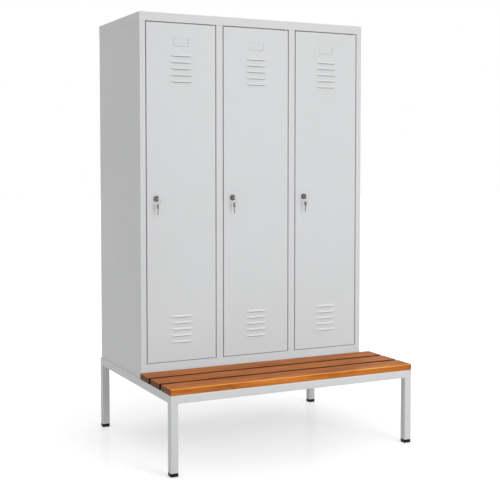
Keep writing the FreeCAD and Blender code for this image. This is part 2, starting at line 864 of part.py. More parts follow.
def key(name):
    """Flat key: blade along +Y, a neck that meets the plug's face, and a round bow with a hole."""
    body = new_body(name)
    half_blade = V.key_blade_height / 2
    half_neck = V.key_neck_height / 2
    blade = new_sketch(body, "YZ_Plane")
    add_rectangle(blade, KEY_FACE, -half_blade, KEY_FACE + V.key_blade_length, half_blade)
    pad(body, blade, V.key_thickness, symmetric=True)
    neck = new_sketch(body, "YZ_Plane")
    add_rectangle(neck, KEY_FACE - V.key_neck_length, -half_neck, KEY_FACE, half_neck)
    pad(body, neck, V.key_thickness, symmetric=True)
    bow = new_sketch(body, "YZ_Plane")
    add_circle(bow, KEY_BOW_Y, ZERO, V.key_bow_radius)
    pad(body, bow, V.key_thickness, symmetric=True)
    hole = new_sketch(body, "YZ_Plane")
    add_circle(hole, KEY_HOLE_Y, ZERO, V.key_hole_radius)
    pocket(body, hole)
    return body


def key_ring(name, origin):
    """Ring of flat wire that hangs in the hole of the key's bow."""
    body = new_body(name)
    half_wall = V.ring_wall / 2
    sketch = new_sketch(body, "XZ_Plane")
    add_circle(sketch, ZERO, ZERO, V.ring_radius + half_wall)
    add_circle(sketch, ZERO, ZERO, V.ring_radius - half_wall)
    pad(body, sketch, V.ring_width, symmetric=True)
    x, y, z = origin
    place(body, x, y + KEY_HOLE_Y, z - RING_SEAT - V.ring_radius)


def spare_key(name, origin):
    """Second key that hangs from the bottom of the ring with its blade down."""
    body = key(name)
    body.Placement.Rotation = FreeCAD.Rotation(AXES["X"], -QUARTER_TURN)
    x, y, z = origin
    drop = RING_SEAT * 2 + V.ring_radius * 2
    place(body, x, y + KEY_HOLE_Y, z - drop + KEY_HOLE_Y)


def build_doors():
    """Every door with its stiffener, pins, lock and keys."""
    cabinet_x, cabinet_y, cabinet_z = CABINET_ORIGIN
    for number, left in enumerate(OPENING_LEFTS, start=1):
        door = (cabinet_x + left + V.door_gap, cabinet_y, cabinet_z + V.sill_height + V.door_gap)
        lock = (door[0] + V.lock_inset, door[1], door[2] + V.lock_height)
        door_panel(f"door_{number}", door)
        door_stiffener(f"door_stiffener_{number}", door)
        hinge_pins(f"hinge_pins_{number}", door)
        lock_housing(f"lock_housing_{number}", lock)
        lock_plug(f"lock_plug_{number}", lock)
        lock_cam(f"lock_cam_{number}", lock)
        place(key(f"key_{number}"), *lock)
        key_ring(f"key_ring_{number}", lock)
        spare_key(f"spare_key_{number}", lock)


def check_document():
    """Stops when any object is in error or any piece has no valid shape."""
    for item in DOC.Objects:
        if {"Invalid", "Error"} & set(item.State):
            raise RuntimeError(f"{item.Label} did not build: {item.State}")
    for piece in PIECES:
        if piece.Shape.isNull() or not piece.Shape.isValid():
            raise RuntimeError(f"{piece.Label} has no valid shape")


def export_pieces():
    """Writes each piece to its own file."""
    os.makedirs("parts", exist_ok=True)
    for piece in PIECES:
        piece.Shape.exportStep(f"parts/{piece.Label}.step")


write_sheet()
build_frame()
build_cabinet()
build_doors()
DOC.recompute()
check_document()
export_pieces()
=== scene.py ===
"""Dressed model of a three-door steel clothes locker that stands on a bench frame with wooden slats.

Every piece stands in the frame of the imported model, in metres: +Z is up and the doors face -Y.
"""
import json
import logging
import math
from dataclasses import dataclass
from enum import Enum
from typing import Callable, Optional, Sequence, Union

import bpy
from mathutils import Matrix, Vector


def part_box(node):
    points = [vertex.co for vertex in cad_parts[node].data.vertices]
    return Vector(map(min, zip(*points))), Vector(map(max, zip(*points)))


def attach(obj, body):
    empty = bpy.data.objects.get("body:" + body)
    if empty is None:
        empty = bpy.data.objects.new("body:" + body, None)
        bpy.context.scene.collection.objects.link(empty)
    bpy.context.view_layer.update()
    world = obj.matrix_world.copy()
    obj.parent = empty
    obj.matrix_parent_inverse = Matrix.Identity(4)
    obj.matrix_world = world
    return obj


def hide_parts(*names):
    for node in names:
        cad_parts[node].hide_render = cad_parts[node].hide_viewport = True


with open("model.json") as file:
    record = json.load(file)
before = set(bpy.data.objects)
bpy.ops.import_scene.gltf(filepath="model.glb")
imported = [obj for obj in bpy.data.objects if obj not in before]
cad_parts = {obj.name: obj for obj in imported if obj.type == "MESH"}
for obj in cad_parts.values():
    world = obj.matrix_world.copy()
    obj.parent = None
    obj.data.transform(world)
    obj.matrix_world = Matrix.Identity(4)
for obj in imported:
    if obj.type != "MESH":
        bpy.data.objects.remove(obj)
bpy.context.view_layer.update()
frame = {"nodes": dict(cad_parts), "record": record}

LOG = logging.getLogger("locker")

MM = 0.001
# Distance below which two places count as one
TOUCH = 0.01 * MM
# Least part of a face's normal, and of an edge's length, along an axis that it follows
FACING = 0.9
PARALLEL = 0.999

# Names of a body and of CAD nodes
FRAME = "frame"
DOOR_NUMBERS = (1, 2, 3)
LEG_PLACES = ("front_left", "front_right", "rear_left", "rear_right")
SLATS = ("slat_front", "slat_middle", "slat_rear")
SLAT_SUPPORTS = ("left_rail", "slat_bearer", "right_rail")
MULLIONS = ("mullion_1", "mullion_2")
DIVIDERS = ("divider_1", "divider_2")
CABINET_RAILS = ("cross_rail", "rear_rail")

# Short names for types
Piece = bpy.types.Object
Paint = bpy.types.Material
Node = bpy.types.Node
Tree = bpy.types.NodeTree
Signal = bpy.types.NodeSocket
Pair = tuple[float, float]
Triple = tuple[float, float, float]
Colour = tuple[float, float, float]
Stops = Sequence[tuple[float, Colour]]
Test = Callable[[Vector, Vector], bool]

BLACK: Colour = (0.0, 0.0, 0.0)
WHITE: Colour = (1.0, 1.0, 1.0)
EVEN: Triple = (1.0, 1.0, 1.0)
RISE: Pair = (0.0, 1.0)
FALL: Pair = (1.0, 0.0)

# Sockets of a Mix node that holds colours
MIX_FIRST = 6
MIX_SECOND = 7
MIX_RESULT = 2


class Axis(Enum):
    """The three directions of the frame."""

    X = 0
    Y = 1
    Z = 2

    @property
    def vector(self) -> Vector:
        """Unit vector along this direction."""
        return Vector([float(i == self.value) for i in range(3)])


class Way(Enum):
    """Which way along an axis."""

    DOWN = -1
    EITHER = 0
    UP = 1


class Side(Enum):
    """The two side walls of the cabinet."""

    LEFT = "left"
    RIGHT = "right"

    @property
    def inwards(self) -> Way:
        """Way along X that leads from this wall to the doors."""
        return Way.UP if self is Side.LEFT else Way.DOWN


class Element(Enum):
    """What is selected on a piece."""

    FACE = "FACE"
    EDGE = "EDGE"


class Cut(Enum):
    """What a second piece does to the first."""

    ADD = "UNION"
    REMOVE = "DIFFERENCE"


class Mixing(Enum):
    """How a second colour is laid over the first."""

    COVER = "MIX"
    STAIN = "MULTIPLY"


class Sum(Enum):
    """What is reckoned from one or two values."""

    PRODUCT = "MULTIPLY"
    LARGER = "MAXIMUM"
    SIZE = "ABSOLUTE"


class Socket(Enum):
    """What goes in or out of a node group."""

    VALUE = "NodeSocketFloat"
    VECTOR = "NodeSocketVector"
    COLOUR = "NodeSocketColor"


class Slot(Enum):
    """Material slots of the record."""

    STEEL = "painted_steel"
    WOOD = "varnished_wood"
    PLASTIC = "foot_plastic"
    ZINC = "zinc_steel"
    LOCK = "lock_metal"
    KEY = "key_metal"


# Rails of the bench frame and the direction that each runs in
RAILS = {
    "front_rail": Axis.X, "rear_rail": Axis.X, "cross_rail": Axis.X,
    "left_rail": Axis.Y, "right_rail": Axis.Y, "slat_bearer": Axis.Y,
}


@dataclass(frozen=True)
class Box:
    """A space between its lowest and highest corner, in metres.

    Attributes:
        low: Lowest corner.
        high: Highest corner.
    """

    low: Vector
    high: Vector

    @classmethod
    def of_node(cls, node: str) -> "Box":
        """Reads the space of a CAD node at rest."""
        low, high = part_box(node)
        return cls(Vector(low), Vector(high))

    @classmethod
    def about(cls, centre: Sequence[float], size: Sequence[float]) -> "Box":
        """Makes a space of a size about its centre."""
        half = Vector(size) / 2
        return cls(Vector(centre) - half, Vector(centre) + half)

    @property
    def centre(self) -> Vector:
        """Middle of the space."""
        return (self.low + self.high) / 2

    @property
    def size(self) -> Vector:
        """Width, depth and height of the space."""
        return self.high - self.low


# Bench work: small steps that every piece is made with


def begin() -> None:
    """Leaves edit mode and deselects everything."""
    active = bpy.context.view_layer.objects.active
    if active is not None and active.mode != "OBJECT":
        bpy.ops.object.mode_set(mode="OBJECT")
    bpy.ops.object.select_all(action="DESELECT")


def hold(piece: Piece) -> None:
    """Makes one piece the only selected and active one.

    Args:
        piece: Piece to work on.
    """
    begin()
    piece.select_set(True)
    bpy.context.view_layer.objects.active = piece


def settle(name: str) -> Piece:
    """Names the new primitive and moves its place and size into its mesh.

    Args:
        name: Name of the piece.

    Returns:
        The piece, at the origin, unturned and unscaled.
    """
    piece = bpy.context.view_layer.objects.active
    bpy.ops.object.transform_apply(location=True, rotation=True, scale=True)
    piece.name = name
    piece.data.name = name
    return piece


def add_block(name: str, space: Box) -> Piece:
    """Adds a block that fills a space.

    Args:
        name: Name of the piece.
        space: Where it goes.

    Returns:
        The new block.
    """
    begin()
    bpy.ops.mesh.primitive_cube_add(size=1.0, location=space.centre)
    bpy.context.view_layer.objects.active.scale = space.size
    return settle(name)


def add_round(name: str, start: Vector, length: float, radius: float, axis: Axis,
              corners: int = 48) -> Piece:
    """Adds a round or many-sided bar.

    Args:
        name: Name of the piece.
        start: Centre of its first end.
        length: Length along the axis.
        radius: Radius to the corners.
        axis: Direction that it runs in.
        corners: Number of sides.

    Returns:
        The new bar.
    """
    begin()
    turn = axis.vector.to_track_quat("Z", "Y").to_euler()
    middle = start + axis.vector * length / 2
    bpy.ops.mesh.primitive_cylinder_add(
        vertices=corners, radius=radius, depth=length, location=middle, rotation=turn)
    return settle(name)


def runs(first: Vector, second: Vector, axis: Axis) -> bool:
    """Tells whether an edge runs along an axis."""
    step = second - first
    return step.length > TOUCH and abs(step[axis.value]) > step.length * PARALLEL


def lies(first: Vector, second: Vector, axis: Axis, place: float) -> bool:
    """Tells whether both ends of an edge lie at one place on an axis."""
    return all(abs(end[axis.value] - place) < TOUCH for end in (first, second))


def edges(along: Optional[Axis] = None, **places: float) -> Test:
    """Makes a test for edges by their direction and by where they lie.

    Args:
        along: Direction that they run in; any if left out.
        places: Where both their ends lie, by the letter of the axis.

    Returns:
        The test of an edge's two ends.
    """
    def wanted(first: Vector, second: Vector) -> bool:
        """Tells whether one edge is wanted."""
        if along is not None and not runs(first, second, along):
            return False
        return all(lies(first, second, Axis[letter], place) for letter, place in places.items())

    return wanted


def faces(axis: Axis, way: Way = Way.EITHER, place: Optional[float] = None) -> Test:
    """Makes a test for faces by where they face and by where they lie.

    Args:
        axis: Direction that they face along.
        way: Which way along it.
        place: Where their centre lies on it; anywhere if left out.

    Returns:
        The test of a face's centre and normal.
    """
    def wanted(centre: Vector, normal: Vector) -> bool:
        """Tells whether one face is wanted."""
        part = normal[axis.value]
        turned = abs(part) if way is Way.EITHER else part * way.value
        return turned > FACING and (place is None or abs(centre[axis.value] - place) < TOUCH)

    return wanted


def either(*tests: Test) -> Test:
    """Makes a test that is passed when any of several tests is passed."""
    return lambda first, second: any(test(first, second) for test in tests)


def clear_selection(piece: Piece, element: Element) -> None:
    """Leaves a piece in object mode with nothing on it selected.

    Args:
        piece: Piece to work on.
        element: What is going to be selected.
    """
    hold(piece)
    bpy.ops.object.mode_set(mode="EDIT")
    bpy.ops.mesh.select_mode(type=element.value)
    bpy.ops.mesh.select_all(action="DESELECT")
    bpy.ops.object.mode_set(mode="OBJECT")


def select_faces(piece: Piece, wanted: Test) -> None:
    """Enters edit mode with the wanted faces selected.

    Args:
        piece: Piece to work on.
        wanted: Test of a face's centre and normal.
    """
    clear_selection(piece, Element.FACE)
    for polygon in piece.data.polygons:
        polygon.select = wanted(polygon.center, polygon.normal)
    bpy.ops.object.mode_set(mode="EDIT")


def select_edges(piece: Piece, wanted: Test) -> None:
    """Enters edit mode with the wanted edges selected.

    Args:
        piece: Piece to work on.
        wanted: Test of an edge's two ends.
    """
    clear_selection(piece, Element.EDGE)
    corners = piece.data.vertices
    for edge in piece.data.edges:
        first, second = edge.vertices
        edge.select = wanted(corners[first].co, corners[second].co)
    bpy.ops.object.mode_set(mode="EDIT")


def remove_faces(piece: Piece, wanted: Test) -> None:
    """Deletes the wanted faces.

    Args:
        piece: Piece to work on.
        wanted: Test of a face's centre and normal.
    """
    select_faces(piece, wanted)
    bpy.ops.mesh.delete(type="FACE")
    begin()


def bevel(piece: Piece, wanted: Test, width: float, steps: int = 3) -> None:
    """Rounds the wanted edges.

    Args:
        piece: Piece to work on.
        wanted: Test of an edge's two ends.
        width: How far the rounding reaches.
        steps: Number of steps in the rounding.
    """
    select_edges(piece, wanted)
    bpy.ops.mesh.bevel(offset=width, offset_type="OFFSET", segments=steps, affect="EDGES")
    begin()


def fold_out(piece: Piece, wanted: Test, move: Sequence[float]) -> None:
    """Draws a flange out of the wanted edges.

    Args:
        piece: Piece to work on.
        wanted: Test of an edge's two ends.
        move: How far the flange reaches.
    """
    select_edges(piece, wanted)
    bpy.ops.mesh.extrude_region_move(TRANSFORM_OT_translate={"value": tuple(move)})
    begin()


def step_in(piece: Piece, wanted: Test, rim: float, move: Sequence[float]) -> None:
    """Leaves a rim round the wanted faces and pushes what is inside it.

    Args:
        piece: Piece to work on.
        wanted: Test of a face's centre and normal.
        rim: Width of the rim.
        move: How far the inner face goes.
    """
    select_faces(piece, wanted)
    bpy.ops.mesh.inset(thickness=rim)
    bpy.ops.mesh.extrude_region_move(TRANSFORM_OT_translate={"value": tuple(move)})
    begin()


def cut_off(piece: Piece, place: Vector, normal: Vector, closed: bool = True) -> None:
    """Cuts off what lies in front of a plane.

    Args:
        piece: Piece to work on.
        place: A point on the plane.
        normal: Direction of the side that is cut off.
        closed: Whether the cut is closed by a face.
    """
    hold(piece)
    bpy.ops.object.mode_set(mode="EDIT")
    bpy.ops.mesh.select_all(action="SELECT")
    bpy.ops.mesh.bisect(plane_co=place, plane_no=normal.normalized(), use_fill=closed, clear_outer=True)
    begin()


def apply_all(piece: Piece) -> None:
    """Applies every modifier of a piece."""
    hold(piece)
    for modifier in list(piece.modifiers):
        bpy.ops.object.modifier_apply(modifier=modifier.name)


def thicken(piece: Piece, wall: float) -> None:
    """Gives an open sheet its thickness, inwards from its outer face.

    Args:
        piece: Sheet to work on.
        wall: Its thickness.
    """
    sheet = piece.modifiers.new("wall", "SOLIDIFY")
    sheet.thickness = wall
    sheet.offset = -1.0
    sheet.use_even_offset = True
    apply_all(piece)


def soften(piece: Piece, width: float, steps: int = 2, angle: float = 40.0) -> None:
    """Takes the sharpness off every edge of a piece.

    Args:
        piece: Piece to work on.
        width: How far the rounding reaches.
        steps: Number of steps in the rounding.
        angle: Least angle of an edge that is rounded, in degrees.
    """
    edge = piece.modifiers.new("edge", "BEVEL")
    edge.width = width
    edge.segments = steps
    edge.limit_method = "ANGLE"
    edge.angle_limit = math.radians(angle)
    apply_all(piece)


def combine(piece: Piece, other: Piece, kind: Cut) -> None:
    """Adds another piece to this one or cuts it out, and uses it up.

    Args:
        piece: Piece to work on.
        other: Piece that is added or cut out.
        kind: What the other piece does.
    """
    cut = piece.modifiers.new("cut", "BOOLEAN")
    cut.operation = kind.value
    cut.solver = "EXACT"
    cut.object = other
    apply_all(piece)
    bpy.data.objects.remove(other)


def copy_of(piece: Piece, name: str, move: Vector, turn: Optional[Matrix] = None) -> Piece:
    """Copies a piece with a mesh of its own.

    Args:
        piece: Piece to copy.
        name: Name of the copy.
        move: How far the copy is moved.
        turn: Rotation about the origin before the move, if any.

    Returns:
        The copy.
    """
    mesh = piece.data.copy()
    mesh.name = name
    mesh.transform(Matrix.Translation(move) @ (turn if turn is not None else Matrix.Identity(4)))
    copy = bpy.data.objects.new(name, mesh)
    bpy.context.scene.collection.objects.link(copy)
    return copy


def repeat(piece: Piece, moves: Sequence[Vector]) -> list[Piece]:
    """Copies a piece by several moves and gives the piece and its copies."""
    return [piece, *(copy_of(piece, piece.name, move) for move in moves)]


def join(pieces: Sequence[Piece]) -> Piece:
    """Joins pieces into the first one.

    Args:
        pieces: Pieces to join.

    Returns:
        The first piece.
    """
    begin()
    for piece in pieces:
        piece.select_set(True)
    bpy.context.view_layer.objects.active = pieces[0]
    bpy.ops.object.join()
    return pieces[0]


def smooth(piece: Piece, angle: float = 35.0) -> None:
    """Shades a piece smoothly except over sharp edges, and keeps its large faces flat.

    Args:
        piece: Piece to work on.
        angle: Least angle of an edge that stays sharp, in degrees.
    """
    hold(piece)
    bpy.ops.object.shade_smooth_by_angle(angle=math.radians(angle))
    flat = piece.modifiers.new("flat", "WEIGHTED_NORMAL")
    flat.keep_sharp = True
    apply_all(piece)


# Finishes


@dataclass(frozen=True)
class Noise:
    """A noise pattern over Object coordinates.

    Attributes:
        scale: Fineness.
        detail: Number of finer layers.
        roughness: Strength of the finer layers.
        distortion: Amount of swirl.
        stretch: How much the coordinates are stretched along each axis.
    """

    scale: float = 1.0
    detail: float = 3.0
    roughness: float = 0.5
    distortion: float = 0.0
    stretch: Triple = EVEN


# Patterns
ORANGE_PEEL = Noise(detail=2.0)
COAT_CLOUD = Noise(scale=2.3, detail=4.0, roughness=0.55)
RUB_MARKS = (Noise(stretch=(1.0, 0.08, 0.3)), Noise(stretch=(0.1, 0.4, 1.0)))
PLASTIC_SKIN = Noise(scale=1400.0, detail=2.0)
WOOD_FIBRE = Noise(scale=1.6, detail=4.0, roughness=0.6, stretch=(6.0, 260.0, 260.0))
WOOD_STREAK = Noise(scale=2.2, detail=7.0, roughness=0.62, distortion=0.5, stretch=(1.6, 13.0, 13.0))
WOOD_PATCH = Noise(scale=2.4, detail=3.0, roughness=0.5, distortion=0.3, stretch=(1.4, 3.5, 3.5))

# Pattern values at which a roughness or a colour starts and stops changing
NOISE_GLOSS: Pair = (0.3, 0.7)
NOISE_TONES: Pair = (0.35, 0.65)
RUB_GLOSS: Pair = (0.1, 0.45)
RUB_TONES: Pair = (0.15, 0.4)
LATE_TO_HEART: Pair = (0.28, 0.47)
HEART_TO_EARLY: Pair = (0.47, 0.68)
PORES: Stops = ((0.30, (0.62, 0.55, 0.50)), (0.55, WHITE))
PATCHES: Stops = ((0.32, (0.78, 0.74, 0.76)), (0.66, (1.1, 1.08, 1.1)))

# Parts of a surface by how far it faces along an axis
SAWN_END: Pair = (0.55, 0.85)
# Where the painted shade in the gap between two slats starts, on the rounding and on the front side
BELOW_ARRIS: Pair = (0.85, 0.97)
FRONT_SIDE: Pair = (-0.35, -0.15)
# Where the painted highlight on a slat's rounded upper edges lies
ARRIS: Stops = ((0.05, BLACK), (0.25, WHITE), (0.85, WHITE), (0.985, BLACK))
# Where the painted highlight on the coat's upward slopes lies
CREST: Stops = ((0.15, BLACK), (0.35, WHITE), (0.75, WHITE), (0.9, BLACK))


def opaque(colour: Colour) -> tuple[float, ...]:
    """Adds full alpha to a colour."""
    return (*colour, 1.0)


class Graph:
    """A node tree that is being drawn."""

    def __init__(self, tree: Tree) -> None:
        """Keeps the tree that nodes are added to."""
        self.tree = tree

    def add(self, kind: str, **settings: object) -> Node:
        """Adds a node.

        Args:
            kind: Type of the node.
            settings: Its properties, by name.

        Returns:
            The new node.
        """
        node = self.tree.nodes.new(kind)
        for name, value in settings.items():
            setattr(node, name, value)
        return node

    def link(self, source: Signal, target: Signal) -> None:
        """Joins an output to an input."""
        self.tree.links.new(source, target)

    def place(self, stretch: Triple, shift: Optional[Signal] = None) -> Signal:
        """Gives Object coordinates, stretched and moved.

        Args:
            stretch: Stretch along each axis.
            shift: Socket of a move along each axis, if any.

        Returns:
            The socket of the coordinates.
        """
        source = self.add("ShaderNodeTexCoord")
        mapping = self.add("ShaderNodeMapping")
        mapping.inputs["Scale"].default_value = stretch
        if shift is not None:
            self.link(shift, mapping.inputs["Location"])
        self.link(source.outputs["Object"], mapping.inputs["Vector"])
        return mapping.outputs["Vector"]

    def noise(self, pattern: Noise, shift: Optional[Signal] = None,
              fineness: Optional[Signal] = None) -> Signal:
        """Adds a noise pattern.

        Args:
            pattern: The pattern.
            shift: Socket of a move along each axis, if any.
            fineness: Socket that takes the place of the pattern's scale, if any.

        Returns:
            The socket of its value.
        """
        node = self.add("ShaderNodeTexNoise")
        node.inputs["Scale"].default_value = pattern.scale
        node.inputs["Detail"].default_value = pattern.detail
        node.inputs["Roughness"].default_value = pattern.roughness
        node.inputs["Distortion"].default_value = pattern.distortion
        self.link(self.place(pattern.stretch, shift), node.inputs["Vector"])
        if fineness is not None:
            self.link(fineness, node.inputs["Scale"])
        return node.outputs["Fac"]

    def ramp(self, value: Signal, stops: Stops) -> Signal:
        """Turns a value into a colour.

        Args:
            value: Value to read.
            stops: Places on the ramp and their colours.

        Returns:
            The socket of the colour.
        """
        node = self.add("ShaderNodeValToRGB")
        elements = node.color_ramp.elements
        while len(elements) < len(stops):
            elements.new(stops[len(elements)][0])
        for element, (place, colour) in zip(elements, stops):
            element.position = place
            element.color = opaque(colour)
        self.link(value, node.inputs["Fac"])
        return node.outputs["Color"]

    def span(self, value: Signal, ends: Pair, results: Pair = RISE) -> Signal:
        """Stretches a value from one range to another.

        Args:
            value: Value to read.
            ends: Values that give the first and the last result.
            results: First and last result.

        Returns:
            The socket of the result.
        """
        node = self.add("ShaderNodeMapRange")
        names = ("From Min", "From Max", "To Min", "To Max")
        for name, number in zip(names, (*ends, *results)):
            node.inputs[name].default_value = number
        self.link(value, node.inputs["Value"])
        return node.outputs["Result"]

    def mix(self, first: Signal, second: Union[Signal, Colour], share: Optional[Signal] = None,
            kind: Mixing = Mixing.COVER) -> Signal:
        """Mixes two colours and keeps the result below white.

        Args:
            first: First colour.
            second: Second colour, as a socket or as a fixed colour.
            share: How much of the second there is; all of it if left out.
            kind: How they are mixed.

        Returns:
            The socket of the result.
        """
        node = self.add("ShaderNodeMix", data_type="RGBA", blend_type=kind.value, clamp_result=True)
        node.inputs["Factor"].default_value = 1.0
        if share is not None:
            self.link(share, node.inputs["Factor"])
        self.link(first, node.inputs[MIX_FIRST])
        if isinstance(second, tuple):
            node.inputs[MIX_SECOND].default_value = opaque(second)
        else:
            self.link(second, node.inputs[MIX_SECOND])
        return node.outputs[MIX_RESULT]

    def tint(self, colour: Signal, shade: Colour, mask: Signal) -> Signal:
        """Multiplies a colour by a shade where a mask says so."""
        return self.mix(colour, shade, mask, Mixing.STAIN)

    def reckon(self, kind: Sum, *values: Signal) -> Signal:
        """Adds a sum on one or two values.

        Args:
            kind: Kind of sum.
            values: What goes in.

        Returns:
            The socket of the result.
        """
        node = self.add("ShaderNodeMath", operation=kind.value)
        for value, socket in zip(values, node.inputs):
            self.link(value, socket)
        return node.outputs["Value"]

    def facing(self) -> bpy.types.NodeOutputs:
        """Reads the direction that the surface faces.

        Returns:
            The sockets X, Y and Z of that direction.
        """
        surface = self.add("ShaderNodeNewGeometry")
        parts = self.add("ShaderNodeSeparateXYZ")
        self.link(surface.outputs["Normal"], parts.inputs["Vector"])
        return parts.outputs

    def seen(self) -> Signal:
        """Tells the rays that the camera sees from those that only light other surfaces.

        Returns:
            The socket of a value, which is 1 for camera, glossy and transmitted rays.
        """
        rays = self.add("ShaderNodeLightPath").outputs
        direct = self.reckon(Sum.LARGER, rays["Is Camera Ray"], rays["Is Glossy Ray"])
        return self.reckon(Sum.LARGER, direct, rays["Is Transmission Ray"])

    def use(self, group: Tree, **values: Union[float, Sequence[float]]) -> Node:
        """Places a node group with its own values.

        Args:
            group: The group.
            values: Values of its inputs, by name.

        Returns:
            The new node.
        """
        node = self.add("ShaderNodeGroup", node_tree=group)
        for name, value in values.items():
            node.inputs[name].default_value = value
        return node


def new_group(name: str, inputs: dict[str, Socket],
              outputs: dict[str, Socket]) -> tuple[Graph, Node, Node]:
    """Starts a shader node group.

    Args:
        name: Name of the group.
        inputs: What goes in, by name.
        outputs: What comes out, by name.

    Returns:
        The group's graph, its input node and its output node.
    """
    tree = bpy.data.node_groups.new(name, "ShaderNodeTree")
    for way, sockets in (("INPUT", inputs), ("OUTPUT", outputs)):
        for label, kind in sockets.items():
            tree.interface.new_socket(label, in_out=way, socket_type=kind.value)
    graph = Graph(tree)
    return graph, graph.add("NodeGroupInput"), graph.add("NodeGroupOutput")


def coat_texture() -> Tree:
    """Draws the fine orange peel and the faint clouding of a baked coat.

    Returns:
        A group with the outputs Peel and Cloud.
    """
    graph, given, result = new_group(
        "coat texture", {"Fineness": Socket.VALUE}, {"Peel": Socket.VALUE, "Cloud": Socket.VALUE})
    peel = graph.noise(ORANGE_PEEL, fineness=given.outputs["Fineness"])
    graph.link(peel, result.inputs["Peel"])
    graph.link(graph.noise(COAT_CLOUD), result.inputs["Cloud"])
    return graph.tree


def rub_texture() -> Tree:
    """Draws fine rub marks that run in many directions over metal.

    Returns:
        A group with the output Rub.
    """
    graph, given, result = new_group("rub texture", {"Fineness": Socket.VALUE}, {"Rub": Socket.VALUE})
    layers = [graph.noise(pattern, fineness=given.outputs["Fineness"]) for pattern in RUB_MARKS]
    graph.link(graph.reckon(Sum.PRODUCT, *layers), result.inputs["Rub"])
    return graph.tree


def grain_texture() -> Tree:
    """Draws growth lines, pores and soft clouds along a board.

    Returns:
        A group with the outputs Colour and Fibre.
    """
    graph, given, result = new_group(
        "wood grain",
        {"Shift": Socket.VECTOR, "Late": Socket.COLOUR, "Heart": Socket.COLOUR, "Early": Socket.COLOUR},
        {"Colour": Socket.COLOUR, "Fibre": Socket.VALUE})
    shift = given.outputs["Shift"]
    fibre = graph.noise(WOOD_FIBRE, shift)
    streak = graph.noise(WOOD_STREAK, shift)
    patch = graph.noise(WOOD_PATCH, shift)
    colour = graph.mix(given.outputs["Late"], given.outputs["Heart"], graph.span(streak, LATE_TO_HEART))
    colour = graph.mix(colour, given.outputs["Early"], graph.span(streak, HEART_TO_EARLY))
    colour = graph.mix(colour, graph.ramp(fibre, PORES), kind=Mixing.STAIN)
    colour = graph.mix(colour, graph.ramp(patch, PATCHES), kind=Mixing.STAIN)
    graph.link(colour, result.inputs["Colour"])
    graph.link(fibre, result.inputs["Fibre"])
    return graph.tree


def slat_marks() -> Tree:
    """Marks the sides of a slat by the direction that its surface faces.

    Returns:
        A group with the outputs Sawn for the ends, Arris for the rounded upper edges, where a highlight is
        painted, and Front for the front side below its rounded edge, where shade in a gap is painted.
    """
    graph, _, result = new_group(
        "slat marks", {}, {"Sawn": Socket.VALUE, "Arris": Socket.VALUE, "Front": Socket.VALUE})
    facing = graph.facing()
    along = graph.reckon(Sum.SIZE, facing["X"])
    graph.link(graph.span(along, SAWN_END), result.inputs["Sawn"])
    graph.link(graph.ramp(facing["Z"], ARRIS), result.inputs["Arris"])
    low = graph.span(facing["Z"], BELOW_ARRIS, FALL)
    front = graph.span(facing["Y"], FRONT_SIDE, FALL)
    graph.link(graph.reckon(Sum.PRODUCT, low, front), result.inputs["Front"])
    return graph.tree


@dataclass(frozen=True)
class Finish:
    """What every finish has.

    Attributes:
        name: Name of the material.
    """

    name: str

    def start(self) -> tuple[Paint, Graph, Node]:
        """Makes the empty material.

        Returns:
            The material, its graph and its main shader.
        """
        material = bpy.data.materials.new(self.name)
        material.use_nodes = True
        return material, Graph(material.node_tree), material.node_tree.nodes["Principled BSDF"]

    def bump(self, graph: Graph, shader: Node, height: Signal, depth: float) -> None:
        """Raises the surface by a height that changes over it.

        Args:
            graph: Graph of the material.
            shader: Its main shader.
            height: Height from 0 to 1.
            depth: Real depth of the relief, in metres.
        """
        node = graph.add("ShaderNodeBump")
        node.inputs["Distance"].default_value = depth
        graph.link(height, node.inputs["Height"])
        graph.link(node.outputs["Normal"], shader.inputs["Normal"])


@dataclass(frozen=True)
class PowderCoat(Finish):
    """Satin powder coat on sheet and tube.

    Attributes:
        light: Colour where the coat is lightest.
        dark: Colour where it is darkest.
        slope_highlight: Painted highlight, a light tint on the slopes of pressed forms and on other
            surfaces that face partly upward.
        gloss: Lowest and highest roughness.
        fineness: Fineness of its orange peel.
        peel_depth: Depth of the orange peel.
    """

    light: Colour = (0.708, 0.715, 0.725)
    dark: Colour = (0.683, 0.69, 0.697)
    slope_highlight: Colour = (1.22, 1.22, 1.22)
    gloss: Pair = (0.40, 0.50)
    fineness: float = 700.0
    peel_depth: float = 0.02 * MM

    def build(self, texture: Tree) -> Paint:
        """Draws the material.

        Args:
            texture: Group of the coat's texture.

        Returns:
            The material.
        """
        material, graph, shader = self.start()
        coat = graph.use(texture, Fineness=self.fineness)
        cloud = coat.outputs["Cloud"]
        colour = graph.ramp(cloud, tuple(zip(NOISE_TONES, (self.dark, self.light))))
        # Painted highlight on every slope that faces partly upward
        slope = graph.ramp(graph.facing()["Z"], CREST)
        graph.link(graph.tint(colour, self.slope_highlight, slope), shader.inputs["Base Color"])
        graph.link(graph.span(cloud, NOISE_GLOSS, self.gloss), shader.inputs["Roughness"])
        self.bump(graph, shader, coat.outputs["Peel"], self.peel_depth)
        return material


